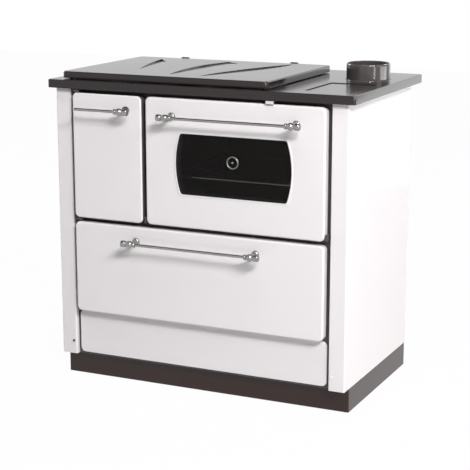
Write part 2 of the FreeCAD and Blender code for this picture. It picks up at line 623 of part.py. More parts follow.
# Oven: sheet box with pressed rails at two heights
oven = block(OVEN_OPEN_X0 - SHEET, OVEN_OPEN_X1 + SHEET, FRAME_BACK, OVEN_BACK + SHEET, OVEN_FLOOR,
             OVEN_TOP)
oven = oven.cut(block(OVEN_OPEN_X0, OVEN_OPEN_X1, FRAME_BACK - OVERRUN, OVEN_BACK, OPEN_Z0, OPEN_Z1))
rails = [oven]
for rise in (TRAY_RISE, RACK_RISE):
    rail_z = OPEN_Z0 + rise
    rails.append(block(OVEN_OPEN_X0 - SHEET, OVEN_OPEN_X0 + RAIL_WIDTH, FRAME_BACK, OVEN_BACK,
                       rail_z - RAIL_T, rail_z))
    rails.append(block(OVEN_OPEN_X1 - RAIL_WIDTH, OVEN_OPEN_X1 + SHEET, FRAME_BACK, OVEN_BACK,
                       rail_z - RAIL_T, rail_z))
nodes["oven_box"] = fuse(rails)

# Oven rack: a wire frame with wires from front to back
rack_z = OPEN_Z0 + RACK_RISE + RACK_R
rack_x0 = OVEN_OPEN_X0 + RACK_R
rack_x1 = OVEN_OPEN_X1 - RACK_R
rack_y0 = FRAME_BACK + RACK_FRONT
rack_y1 = OVEN_BACK - RACK_REAR
wires = [rod_x(rack_x0, rack_x1, y, rack_z, RACK_R) for y in (rack_y0, rack_y1)]
for i in range(RACK_WIRES):
    wire_x = rack_x0 + RAIL_WIDTH / 2 + (rack_x1 - rack_x0 - RAIL_WIDTH) * i / (RACK_WIRES - 1)
    wires.append(rod_y(wire_x, rack_y0, rack_y1, rack_z, RACK_WIRE_R))
nodes["oven_rack"] = fuse(wires)

# Baking tray on the lower rails
tray_z = OPEN_Z0 + TRAY_RISE
nodes["baking_tray"] = tub(OVEN_OPEN_X0 + TRAY_PLAY, OVEN_OPEN_X1 - TRAY_PLAY, rack_y0, rack_y1,
                           tray_z, tray_z + TRAY_HEIGHT)

# Firebox casing: sheet, open to the front and to the hotplate, with ledges for the grate frame
casing = block(CASING_X0, CASING_X1, FRAME_BACK, CASING_Y1, OVEN_FLOOR, CASING_TOP)
casing = casing.cut(block(CASING_X0 + SHEET, CASING_X1 - SHEET, FRAME_BACK - OVERRUN, CASING_Y1 - SHEET,
                          OPEN_Z0, CASING_TOP + OVERRUN))
casing = casing.cut(block(CASING_X1 - SHEET - OVERRUN, CASING_X1 + OVERRUN, FRAME_BACK - OVERRUN,
                          CASING_Y1 - SHEET, OVEN_TOP, CASING_TOP + OVERRUN))
ledge_z = GRATE_FRAME_Z - CASING_LEDGE_T
ledges = [block(CASING_X0, CASING_X0 + CASING_LEDGE, FRAME_BACK, CASING_Y1, ledge_z, GRATE_FRAME_Z)]
ledges.append(block(CASING_X1 - CASING_LEDGE, CASING_X1, FRAME_BACK, CASING_Y1, ledge_z, GRATE_FRAME_Z))
nodes["firebox_casing"] = fuse([casing] + ledges)

# Firebricks: left, right and rear slabs that stand on the grate frame
brick_y0 = FRAME_BACK + BRICK_GAP
left_brick = block(CASING_X0 + SHEET, FIREBOX_X0, brick_y0, CASING_Y1 - SHEET, GRATE_Z, CASING_TOP)
right_brick = block(FIREBOX_X1, CASING_X1 - SHEET, brick_y0, CASING_Y1 - SHEET, GRATE_Z, OVEN_TOP)
rear_brick = block(FIREBOX_X0, FIREBOX_X1, FIREBOX_Y1, CASING_Y1 - SHEET, GRATE_Z, CASING_TOP)
nodes["firebricks"] = Part.makeCompound([left_brick, right_brick, rear_brick])

# Grate frame on the casing's ledges, and the barred grate lying on it
grate_x0 = FIREBOX_X0 + GRATE_PLAY
grate_x1 = FIREBOX_X1 - GRATE_PLAY
grate_y0 = FRAME_BACK + GRATE_FRONT
grate_y1 = FIREBOX_Y1 - GRATE_PLAY
grate_frame = block(CASING_X0 + SHEET, CASING_X1 - SHEET, brick_y0, CASING_Y1 - SHEET, GRATE_FRAME_Z,
                    GRATE_Z)
nodes["grate_frame"] = grate_frame.cut(block(grate_x0 + GRATE_LAP, grate_x1 - GRATE_LAP,
                                             grate_y0 + GRATE_LAP,
                                             grate_y1 - GRATE_LAP, GRATE_FRAME_Z - OVERRUN,
                                             GRATE_Z + OVERRUN))
grate = block(grate_x0, grate_x1, grate_y0, grate_y1, GRATE_Z, GRATE_Z + GRATE_T)
bar_pitch = (grate_x1 - grate_x0) / (GRATE_BARS * 2 + 1)
for i in range(GRATE_BARS):
    slot_x = grate_x0 + bar_pitch * (2 * i + 1)
    grate = grate.cut(block(slot_x, slot_x + bar_pitch, grate_y0 + 2 * GRATE_LAP, grate_y1 - 2 * GRATE_LAP,
                            GRATE_Z - OVERRUN, GRATE_Z + GRATE_T + OVERRUN))
nodes["fire_grate"] = grate

# Ash pan on the casing's floor, with a tab to draw it out
ash_y0 = FRAME_BACK + ASH_FRONT
ash_z1 = OPEN_Z0 + ASH_HEIGHT
ash_pan = tub(FIRE_OPEN_X0 + ASH_PLAY, FIRE_OPEN_X1 - ASH_PLAY, ash_y0, FIREBOX_Y1 - ASH_REAR,
              OPEN_Z0, ash_z1)
ash_tab = block(FIRE_MID - ASH_TAB_HALF, FIRE_MID + ASH_TAB_HALF, ash_y0 - ASH_TAB_REACH, ash_y0 + SHEET,
                ash_z1 - ASH_TAB_DROP - ASH_TAB_T, ash_z1 - ASH_TAB_DROP)
nodes["ash_pan"] = fuse([ash_pan, ash_tab])

# Deck over the drawer, and the strips on it that carry the oven and the firebox
nodes["deck"] = block(-HALF_INNER, HALF_INNER, FRAME_BACK, REAR_Y, DECK_Z0, DECK_Z1)
strips = []
for share in SPACER_SHARES:
    strip_x = CASING_X0 + (OVEN_OPEN_X1 - CASING_X0) * share
    strips.append(block(strip_x - SPACER_HALF, strip_x + SPACER_HALF, FRAME_BACK, OVEN_BACK, DECK_Z1,
                        OVEN_FLOOR))
nodes["deck_strips"] = Part.makeCompound(strips)

# Insulation slabs against the side panels
left_slab = block(-HALF_INNER, CASING_X0, FRAME_BACK, REAR_Y, SLAB_Z0, CASING_TOP)
right_slab = block(FLUE_X1, HALF_INNER, FRAME_BACK, REAR_Y, SLAB_Z0, CASING_TOP)
nodes["insulation_slabs"] = Part.makeCompound([left_slab, right_slab])

# Drawer runners: angles from the front frame to the back panel
leg = block(DRAWER_OPEN_X, DRAWER_OPEN_X + RUNNER_LEG, FRAME_BACK, REAR_Y, RUNNER_Z - RUNNER_DROP,
            RUNNER_Z + RUNNER_RISE)
foot = block(DRAWER_OPEN_X - RUNNER_FOOT, DRAWER_OPEN_X, FRAME_BACK, REAR_Y, RUNNER_Z - RUNNER_T, RUNNER_Z)
runner = fuse([leg, foot])
nodes["drawer_runners"] = Part.makeCompound([runner, runner.mirror(V(0, 0, 0), V(1, 0, 0))])

# Hinge lugs on the front frame: upright pins for the fire door, level pins for the oven door
lugs = []
low_z = DOOR_Z0 - LUG_GAP
low_lug = block(FIRE_HINGE_X - LUG_HALF, FIRE_HINGE_X + LUG_HALF, HINGE_Y - LUG_NOSE, FRAME_Y,
                low_z - LUG_T, low_z)
lugs.append(fuse([low_lug, rod_z(FIRE_HINGE_X, HINGE_Y, low_z - LUG_T, low_z + PIN_REACH, PIN_R)]))
high_z = DOOR_Z1 + LUG_GAP
high_lug = block(FIRE_HINGE_X - LUG_HALF, FIRE_HINGE_X + LUG_HALF, HINGE_Y - LUG_NOSE, FRAME_Y, high_z,
                 high_z + LUG_T)
lugs.append(fuse([high_lug, rod_z(FIRE_HINGE_X, HINGE_Y, high_z - PIN_REACH, high_z + LUG_T, PIN_R)]))
left_x = OVEN_X0 - LUG_GAP
left_lug = block(left_x - LUG_T, left_x, HINGE_Y - LUG_NOSE, FRAME_Y, OVEN_HINGE_Z - LUG_HALF,
                 OVEN_HINGE_Z + LUG_HALF)
lugs.append(fuse([left_lug, rod_x(left_x - LUG_T, left_x + PIN_REACH, HINGE_Y, OVEN_HINGE_Z, PIN_R)]))
right_x = OVEN_X1 + LUG_GAP
right_lug = block(right_x, right_x + LUG_T, HINGE_Y - LUG_NOSE, FRAME_Y, OVEN_HINGE_Z - LUG_HALF,
                  OVEN_HINGE_Z + LUG_HALF)
lugs.append(fuse([right_lug, rod_x(right_x - PIN_REACH, right_x + LUG_T, HINGE_Y, OVEN_HINGE_Z, PIN_R)]))
nodes["door_hinge_lugs"] = Part.makeCompound(lugs)

# Screws: pillars to the front frame, side panels to the back panel
screws = []
for side in (-1, 1):
    screw_x = side * (pillar_x + PILLAR_SCREW_INSET)
    screws.append(rod_y(screw_x, PILLAR_Y - SCREW_T, PILLAR_Y, PLINTH_HEIGHT + PILLAR_SCREW_RISE, SCREW_R))
    for share in REAR_SCREW_SHARES:
        screw_z = PLINTH_HEIGHT + (UNDER_TOP - PLINTH_HEIGHT) * share
        screws.append(rod_y(side * (HALF_BODY - REAR_SCREW_INSET), BODY_BACK, BODY_BACK + SCREW_T, screw_z,
                            SCREW_R))
nodes["casing_screws"] = Part.makeCompound(screws)

# Fire door: pan with the spindle hole, the hinge pin holes and air slots in its bottom edge
fire_pan = pan(FIRE_X0, FIRE_X1, DOOR_Z0, DOOR_Z1)
fire_pan = fire_pan.cut(rod_y(SPINDLE_X, FRONT - OVERRUN, FRONT + SHEET + OVERRUN, LEVER_Z, POST_R + LOOSE))
fire_pan = fire_pan.cut(rod_z(FIRE_HINGE_X, HINGE_Y, DOOR_Z0 - OVERRUN, DOOR_Z0 + BUSH_OFFSET,
                              PIN_R + LOOSE))
fire_pan = fire_pan.cut(rod_z(FIRE_HINGE_X, HINGE_Y, DOOR_Z1 - BUSH_OFFSET, DOOR_Z1 + OVERRUN,
                              PIN_R + LOOSE))
inlet_y = (FRONT + DOOR_EDGE + LINER_Y - INLET_WIDTH) / 2
for side in (-1, 1):
    inlet_x = FIRE_MID + side * INLET_LENGTH * 3 / 4
    fire_pan = fire_pan.cut(block(inlet_x - INLET_LENGTH / 2, inlet_x + INLET_LENGTH / 2, inlet_y,
                                  inlet_y + INLET_WIDTH,
                                  DOOR_Z0 - OVERRUN, DOOR_Z0 + SHEET + OVERRUN))
nodes["fire_door_panel"] = fire_pan

# Fire door liner with the air slots and the two guides of the air slide
fire_liner = liner(FIRE_X0, FIRE_X1, DOOR_Z0, DOOR_Z1)
guide_z = AIR_HALF_HEIGHT + SLIDE_GAP
guide_y = DOOR_BACK + AIR_T + 2 * SLIDE_GAP
guide_x0 = FIRE_MID - AIR_HALF
guide_x1 = FIRE_MID + AIR_HALF + AIR_TRAVEL
guides = [fire_liner]
guides.append(block(guide_x0, guide_x1, DOOR_BACK, guide_y, AIR_Z + guide_z, AIR_Z + guide_z + AIR_GUIDE))
guides.append(block(guide_x0, guide_x1, guide_y, guide_y + AIR_T, AIR_Z + guide_z - AIR_GUIDE_LAP,
                    AIR_Z + guide_z + AIR_GUIDE))
guides.append(block(guide_x0, guide_x1, DOOR_BACK, guide_y, AIR_Z - guide_z - AIR_GUIDE, AIR_Z - guide_z))
guides.append(block(guide_x0, guide_x1, guide_y, guide_y + AIR_T, AIR_Z - guide_z - AIR_GUIDE,
                    AIR_Z - guide_z + AIR_GUIDE_LAP))
fire_liner = fuse(guides)
air_slide = block(FIRE_MID - AIR_HALF, FIRE_MID + AIR_HALF, DOOR_BACK + SLIDE_GAP,
                  DOOR_BACK + SLIDE_GAP + AIR_T,
                  AIR_Z - AIR_HALF_HEIGHT, AIR_Z + AIR_HALF_HEIGHT)
for i in range(AIR_SLOTS):
    slot_x = FIRE_MID + AIR_SLOT_PITCH * (i - AIR_SLOTS / 2)
    slot = block(slot_x, slot_x + AIR_SLOT_WIDTH, LINER_Y - OVERRUN, DOOR_BACK + AIR_T + OVERRUN,
                 AIR_Z - AIR_SLOT_HEIGHT / 2, AIR_Z + AIR_SLOT_HEIGHT / 2)
    fire_liner = fire_liner.cut(slot)
    air_slide = air_slide.cut(slot)
nodes["fire_door_liner"] = fire_liner.cut(rod_y(SPINDLE_X, LINER_Y - OVERRUN, DOOR_BACK + OVERRUN, LEVER_Z,
                                                POST_R + FIT))

# Air slide with its knob
air_knob = rod_y(FIRE_MID + AIR_HALF - AIR_KNOB_R - AIR_GUIDE_LAP, DOOR_BACK + SLIDE_GAP,
                 DOOR_BACK + SLIDE_GAP + AIR_T + AIR_KNOB_LENGTH, AIR_Z, AIR_KNOB_R)
nodes["air_slide"] = fuse([air_slide, air_knob])

# Heat shield board and rope seal on the fire door
nodes["fire_door_shield"] = block(FIRE_OPEN_X0 + SHIELD_INSET, FIRE_OPEN_X1 - SHIELD_INSET, DOOR_BACK,
                                  DOOR_BACK + SHIELD_T, OPEN_Z0 + SHIELD_BOTTOM, OPEN_Z1 - SHIELD_TOP_DROP)
nodes["fire_door_gasket"] = gasket(FIRE_X0, FIRE_X1, DOOR_Z0, DOOR_Z1)

# Hinge bushes inside the fire door, each on a web from the liner
bushes = []
for bush_z in (DOOR_Z0 + BUSH_OFFSET, DOOR_Z1 - BUSH_OFFSET - BUSH_LENGTH):
    bush = rod_z(FIRE_HINGE_X, HINGE_Y, bush_z, bush_z + BUSH_LENGTH, BUSH_R)
    web = block(FIRE_HINGE_X - BUSH_WEB / 2, FIRE_HINGE_X + BUSH_WEB / 2, HINGE_Y, LINER_Y, bush_z,
                bush_z + BUSH_LENGTH)
    bushes.append(fuse([bush, web]).cut(rod_z(FIRE_HINGE_X, HINGE_Y, bush_z - OVERRUN,
                                              bush_z + BUSH_LENGTH + OVERRUN,
                                              PIN_R + FIT)))
nodes["fire_hinge_bushes"] = Part.makeCompound(bushes)

# Latch: rosette on the door, lever bar, knuckle with its spindle, and tongue behind the door
rosette = rod_y(SPINDLE_X, FRONT - ROSETTE_T, FRONT, LEVER_Z, ROSETTE_R)
nodes["latch_rosette"] = rosette.cut(rod_y(SPINDLE_X, FRONT - ROSETTE_T - OVERRUN, FRONT + OVERRUN, LEVER_Z,
                                           POST_R + FIT))
nodes["lever_bar"] = fuse([rod_x(LEVER_X0 + BAR_R, LEVER_X1 - BAR_STOP, BAR_Y, LEVER_Z, BAR_R),
                           Part.makeSphere(BAR_R, V(LEVER_X0 + BAR_R, BAR_Y, LEVER_Z))])
nodes["lever_knuckle"] = handle_end(LEVER_X1, LEVER_Z, TONGUE_Y1)
tongue = [rod_y(SPINDLE_X, TONGUE_Y0, TONGUE_Y1, LEVER_Z, TONGUE_HUB_R)]
tongue.append(block(SPINDLE_X, SPINDLE_X + NOSE_REACH, TONGUE_Y0, TONGUE_Y1, LEVER_Z - NOSE_R,
                    LEVER_Z + NOSE_R))
tongue.append(rod_y(SPINDLE_X + NOSE_REACH, TONGUE_Y0, TONGUE_Y1, LEVER_Z, NOSE_R))
nodes["latch_tongue"] = fuse(tongue).cut(rod_y(SPINDLE_X, TONGUE_Y0 - OVERRUN, TONGUE_Y1 + OVERRUN, LEVER_Z,
                                               POST_R + FIT))

# Oven door: pan with the window and the hinge pin holes
glass_y = FRONT + SHEET
oven_pan = pan(OVEN_X0, OVEN_X1, DOOR_Z0, DOOR_Z1).cut(window(0, FRONT - OVERRUN, glass_y + OVERRUN))
oven_pan = oven_pan.cut(rod_x(OVEN_X0 - OVERRUN, OVEN_X0 + BUSH_OFFSET, HINGE_Y, OVEN_HINGE_Z,
                              PIN_R + LOOSE))
nodes["oven_door_panel"] = oven_pan.cut(rod_x(OVEN_X1 - BUSH_OFFSET, OVEN_X1 + OVERRUN, HINGE_Y,
                                              OVEN_HINGE_Z, PIN_R + LOOSE))

# Window: trim, glass with the thermometer's hole, and the retainer behind it
trim = window(TRIM_WIDTH, FRONT - TRIM_PROUD, FRONT)
nodes["window_trim"] = trim.cut(window(0, FRONT - TRIM_PROUD - OVERRUN, FRONT + OVERRUN))
glass_back = glass_y + GLASS_T
glass = window(GLASS_LAP, glass_y, glass_back)
nodes["oven_glass"] = glass.cut(rod_y(OVEN_MID, glass_y - OVERRUN, glass_back + OVERRUN, DIAL_Z,
                                      STEM_R + SLIDE_GAP))
retainer = window(GLASS_LAP, glass_back, glass_back + RETAINER_T)
nodes["glass_retainer"] = retainer.cut(window(-RETAINER_LAP, glass_back - OVERRUN,
                                              glass_back + RETAINER_T + OVERRUN))

# Oven door liner and rope seal
oven_liner = liner(OVEN_X0, OVEN_X1, DOOR_Z0, DOOR_Z1)
nodes["oven_door_liner"] = oven_liner.cut(window(-RETAINER_LAP, LINER_Y - OVERRUN, DOOR_BACK + OVERRUN))
nodes["oven_door_gasket"] = gasket(OVEN_X0, OVEN_X1, DOOR_Z0, DOOR_Z1)

# Hinge bushes inside the oven door
bushes = []
for bush_x in (OVEN_X0 + BUSH_OFFSET, OVEN_X1 - BUSH_OFFSET - BUSH_LENGTH):
    bush = rod_x(bush_x, bush_x + BUSH_LENGTH, HINGE_Y, OVEN_HINGE_Z, BUSH_R)
    web = block(bush_x, bush_x + BUSH_LENGTH, HINGE_Y, LINER_Y, OVEN_HINGE_Z - BUSH_WEB / 2,
                OVEN_HINGE_Z + BUSH_WEB / 2)
    bushes.append(fuse([bush, web]).cut(rod_x(bush_x - OVERRUN, bush_x + BUSH_LENGTH + OVERRUN, HINGE_Y,
                                              OVEN_HINGE_Z,
                                              PIN_R + FIT)))
nodes["oven_hinge_bushes"] = Part.makeCompound(bushes)

# Oven door handle
nodes["oven_handle_bar"], nodes["oven_handle_ends"] = long_handle(OVEN_MID, DOOR_Z1 - DOOR_HANDLE_DROP)

# Thermometer: case on the glass with its stem, and the needle on its pin
dial_y = glass_y - DIAL_PROUD
face_y = dial_y + DIAL_RECESS
case = rod_y(OVEN_MID, dial_y, glass_y, DIAL_Z, DIAL_R)
case = case.cut(rod_y(OVEN_MID, dial_y - OVERRUN, face_y, DIAL_Z, DIAL_FACE_R))
nodes["thermometer_case"] = fuse([case, rod_y(OVEN_MID, dial_y + NEEDLE_T, face_y + TOUCH, DIAL_Z,
                                              DIAL_PIN_R),
                                  rod_y(OVEN_MID, glass_y - TOUCH, glass_y + STEM_LENGTH, DIAL_Z, STEM_R)])
needle_y = face_y - SLIDE_GAP - NEEDLE_T
needle = fuse([rod_y(OVEN_MID, needle_y, needle_y + NEEDLE_T, DIAL_Z, NEEDLE_HUB_R),
               block(OVEN_MID - NEEDLE_LENGTH, OVEN_MID, needle_y, needle_y + NEEDLE_T,
                     DIAL_Z - NEEDLE_HALF,
                     DIAL_Z + NEEDLE_HALF)])
nodes["thermometer_needle"] = needle.cut(rod_y(OVEN_MID, needle_y - OVERRUN, needle_y + NEEDLE_T + OVERRUN,
                                               DIAL_Z,
                                               DIAL_PIN_R + FIT))

# Wood drawer: front pan, its liner, the sheet box and the handle
nodes["drawer_front"] = pan(FIRE_X0, OVEN_X1, DRAWER_Z0, DRAWER_Z1)
nodes["drawer_liner"] = liner(FIRE_X0, OVEN_X1, DRAWER_Z0, DRAWER_Z1)
nodes["drawer_box"] = tub(-BOX_X, BOX_X, DOOR_BACK, BOX_Y1, BOX_Z0, BOX_Z1)
nodes["drawer_handle_bar"], nodes["drawer_handle_ends"] = long_handle(0, DRAWER_Z1 - DRAWER_HANDLE_DROP)

# Cover lid: shallow pressed tray with three rays
outer = block(LID_X0, LID_X1, LID_Y0, LID_Y1, TOP_HEIGHT, LID_Z1)
outer = outer.makeFillet(LID_CORNER,
                         [e for e in outer.Edges if abs(e.Vertexes[0].Z - e.Vertexes[-1].Z) > TOUCH])
outer = outer.makeFillet(LID_EDGE,
                         [e for e in outer.Edges if all(abs(v.Z - LID_Z1) < TOUCH for v in e.Vertexes)])
inner = block(LID_X0 + SHEET, LID_X1 - SHEET, LID_Y0 + SHEET, LID_Y1 - SHEET, TOP_HEIGHT - OVERRUN,
              LID_Z1 - SHEET)
inner = inner.makeFillet(LID_CORNER - SHEET,
                         [e for e in inner.Edges if abs(e.Vertexes[0].Z - e.Vertexes[-1].Z) > TOUCH])
for shares in RAY_SHARES:
    outer = outer.cut(ray(shares, 0))
    inner = inner.cut(ray(shares, SHEET))
nodes["lid_panel"] = outer.cut(inner)

# Lid hinges: brackets with pins on the top frame, leaves with barrels on the lid
brackets = []
leaves = []
half = KNUCKLE_LENGTH / 2
for side in (-1, 1):
    hinge_x = LID_MID + side * LID_HINGE_SPAN / 2
    ear_x = half + LOOSE
    parts = [rod_x(hinge_x - ear_x - EAR_T, hinge_x + ear_x + EAR_T, LID_HINGE_Y, LID_HINGE_Z,
                   KNUCKLE_PIN_R)]
    parts.append(block(hinge_x - ear_x - EAR_T, hinge_x + ear_x + EAR_T, LID_HINGE_Y - KNUCKLE_R,
                       LID_HINGE_Y - KNUCKLE_R + HINGE_BASE_DEPTH, TOP_HEIGHT, TOP_HEIGHT + HINGE_BASE_T))
    for ear in (hinge_x - ear_x - EAR_T, hinge_x + ear_x):
        parts.append(rod_x(ear, ear + EAR_T, LID_HINGE_Y, LID_HINGE_Z, KNUCKLE_R))
        parts.append(block(ear, ear + EAR_T, LID_HINGE_Y - KNUCKLE_R, LID_HINGE_Y + KNUCKLE_R, TOP_HEIGHT,
                           LID_HINGE_Z))
    brackets.append(fuse(parts))
    barrel = rod_x(hinge_x - half, hinge_x + half, LID_HINGE_Y, LID_HINGE_Z, KNUCKLE_R)
    arm = block(hinge_x - half, hinge_x + half, LID_Y1, LID_HINGE_Y, LID_HINGE_Z - LEAF_T / 2,
                LID_HINGE_Z + LEAF_T / 2)
    leaves.append(fuse([barrel, arm]).cut(rod_x(hinge_x - half - OVERRUN, hinge_x + half + OVERRUN,
                                                LID_HINGE_Y,
                                                LID_HINGE_Z, KNUCKLE_PIN_R + FIT)))
nodes["lid_hinge_brackets"] = Part.makeCompound(brackets)
nodes["lid_hinge_leaves"] = Part.makeCompound(leaves)

os.makedirs("parts", exist_ok=True)
for name, shape in nodes.items():
    shape.exportStep("parts/" + name + ".step")
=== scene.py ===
import math
import bmesh
import bpy
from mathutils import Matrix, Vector
from mathutils.geometry import delaunay_2d_cdt


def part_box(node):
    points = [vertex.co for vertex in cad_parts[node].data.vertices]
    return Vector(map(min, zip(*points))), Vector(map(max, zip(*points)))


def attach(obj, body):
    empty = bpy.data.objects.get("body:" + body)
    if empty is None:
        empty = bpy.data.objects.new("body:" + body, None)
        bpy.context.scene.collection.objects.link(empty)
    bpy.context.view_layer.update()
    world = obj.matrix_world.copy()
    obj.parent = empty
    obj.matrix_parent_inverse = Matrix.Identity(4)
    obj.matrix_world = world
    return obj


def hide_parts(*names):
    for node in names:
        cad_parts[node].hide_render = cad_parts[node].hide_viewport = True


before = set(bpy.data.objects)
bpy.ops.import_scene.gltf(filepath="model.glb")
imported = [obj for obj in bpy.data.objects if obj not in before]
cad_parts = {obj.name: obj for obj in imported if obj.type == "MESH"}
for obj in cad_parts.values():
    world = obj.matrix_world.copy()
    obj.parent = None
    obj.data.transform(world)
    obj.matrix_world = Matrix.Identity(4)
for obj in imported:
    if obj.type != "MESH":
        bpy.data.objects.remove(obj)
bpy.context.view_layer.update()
scene = bpy.context.scene

# The studio: a pale floor, a white surround with a dimmer ceiling, and soft lamps in front, overhead, at
# both sides and behind. Floor and surround show white to the camera and in gloss, and the floor keeps a
# soft shadow.
EYE_SENSOR = 36.0
EYE_LENS = 108.265
EYE_PLACE = (1.65811, -3.55576, 1.29392)
EYE_DOWN, EYE_TURN = 12.82, 24.96
scene.view_settings.view_transform = "Standard"
eye = bpy.data.objects.new("eye", bpy.data.cameras.new("eye"))
eye.data.sensor_width = EYE_SENSOR
eye.data.lens = EYE_LENS
eye.location = EYE_PLACE
eye.rotation_euler = (math.radians(90 - EYE_DOWN), 0, math.radians(EYE_TURN))
scene.collection.objects.link(eye)
scene.camera = eye

ROOM_LIGHT = 0.04
CEILING_STARTS = (0.55, 0.8)
CEILING_DIM = 0.15
surround = bpy.data.worlds.new("surround")
scene.world = surround
surround.use_nodes = True
room = surround.node_tree
room.nodes["Background"].inputs["Color"].default_value = (1, 1, 1, 1)


def seen_or_mirrored(tree):
    path = tree.nodes.new("ShaderNodeLightPath")
    total = path.outputs["Is Camera Ray"]
    for ray in ("Is Glossy Ray", "Is Transmission Ray"):
        either = tree.nodes.new("ShaderNodeMath")
        either.operation = "MAXIMUM"
        tree.links.new(total, either.inputs[0])
        tree.links.new(path.outputs[ray], either.inputs[1])
        total = either.outputs[0]
    return total


above = room.nodes.new("ShaderNodeTexCoord")
height = room.nodes.new("ShaderNodeSeparateXYZ")
ceiling = room.nodes.new("ShaderNodeMapRange")
ceiling.inputs["From Min"].default_value, ceiling.inputs["From Max"].default_value = CEILING_STARTS
ceiling.inputs["To Min"].default_value, ceiling.inputs["To Max"].default_value = 1.0, CEILING_DIM
white = room.nodes.new("ShaderNodeMath")
white.operation = "MAXIMUM"
room_level = room.nodes.new("ShaderNodeMapRange")
room_level.inputs["To Min"].default_value = ROOM_LIGHT
room.links.new(above.outputs["Generated"], height.inputs[0])
room.links.new(height.outputs["Z"], ceiling.inputs["Value"])
room.links.new(ceiling.outputs["Result"], white.inputs[0])
room.links.new(room.nodes.new("ShaderNodeLightPath").outputs["Is Camera Ray"], white.inputs[1])
room.links.new(white.outputs[0], room_level.inputs["To Max"])
room.links.new(seen_or_mirrored(room), room_level.inputs["Value"])
room.links.new(room_level.outputs["Result"], room.nodes["Background"].inputs["Strength"])

FLOOR_HALF = 8.0
FLOOR_DROP = 0.0005
FLOOR_GREY = 0.58
FLOOR_ROUGHNESS = 0.9
FLOOR_WHITE = 0.98
floor_shape = bmesh.new()
bmesh.ops.create_grid(floor_shape, x_segments=1, y_segments=1, size=FLOOR_HALF)
bmesh.ops.translate(floor_shape, vec=(0, 0, -FLOOR_DROP), verts=floor_shape.verts)
floor_mesh = bpy.data.meshes.new("floor")
floor_shape.to_mesh(floor_mesh)
floor_shape.free()
floor_paint = bpy.data.materials.new("floor_paint")
floor_paint.use_nodes = True
tree = floor_paint.node_tree
matt = tree.nodes["Principled BSDF"]
matt.inputs["Base Color"].default_value = (FLOOR_GREY, FLOOR_GREY, FLOOR_GREY, 1)
matt.inputs["Roughness"].default_value = FLOOR_ROUGHNESS
matt.inputs["Specular IOR Level"].default_value = 0.0
glow = tree.nodes.new("ShaderNodeEmission")
mix = tree.nodes.new("ShaderNodeMixShader")
share = tree.nodes.new("ShaderNodeMath")
share.operation = "MULTIPLY"
share.inputs[1].default_value = FLOOR_WHITE
tree.links.new(seen_or_mirrored(tree), share.inputs[0])
tree.links.new(share.outputs[0], mix.inputs[0])
tree.links.new(matt.outputs[0], mix.inputs[1])
tree.links.new(glow.outputs[0], mix.inputs[2])
tree.links.new(mix.outputs[0], tree.nodes["Material Output"].inputs["Surface"])
floor_mesh.materials.append(floor_paint)
floor = bpy.data.objects.new("floor", floor_mesh)
scene.collection.objects.link(floor)

LAMP_AIM = Vector((0, 0, 0.5))


def lamp(name, azimuth, height_angle, distance, watts, wide, tall):
    light = bpy.data.lights.new(name, "AREA")
    light.shape = "RECTANGLE"
    light.size = wide
    light.size_y = tall
    light.energy = watts
    stand = bpy.data.objects.new(name, light)
    turn = math.radians(azimuth)
    rise = math.radians(height_angle)
    away = Vector((math.sin(turn) * math.cos(rise), -math.cos(turn) * math.cos(rise), math.sin(rise)))
    stand.location = LAMP_AIM + away * distance
    stand.rotation_euler = away.to_track_quat("Z", "Y").to_euler()
    scene.collection.objects.link(stand)


lamp("high_window", azimuth=44, height_angle=34, distance=5.0, watts=268, wide=2.0, tall=0.6)
lamp("overhead", azimuth=10, height_angle=68, distance=4.0, watts=42, wide=2.2, tall=1.4)
lamp("right_window", azimuth=82, height_angle=18, distance=5.0, watts=32, wide=2.0, tall=1.0)
lamp("left_window", azimuth=255, height_angle=20, distance=5.0, watts=75, wide=2.0, tall=1.0)
lamp("back_window", azimuth=146, height_angle=40, distance=5.0, watts=60, wide=2.0, tall=1.0)
lamp("low_window", azimuth=55, height_angle=-3.0, distance=5.0, watts=14, wide=0.5, tall=0.4)
lamp("side_window", azimuth=106, height_angle=-1.7, distance=5.0, watts=27, wide=3.7, tall=0.26)
lamp("rear_strip", azimuth=158, height_angle=13.7, distance=2.4, watts=4.8, wide=0.8, tall=1.9)

# Plinth: folded sheet steel under the body, set back from the doors, in a dark brown enamel.
# The body stands on it; its lips are folded in at the top and at the floor.
MM = 0.001
EDGE_GAIN = 3.4
EDGE_BREAK = (1.2, 0.2)
PEEL_SHARE = 0.06


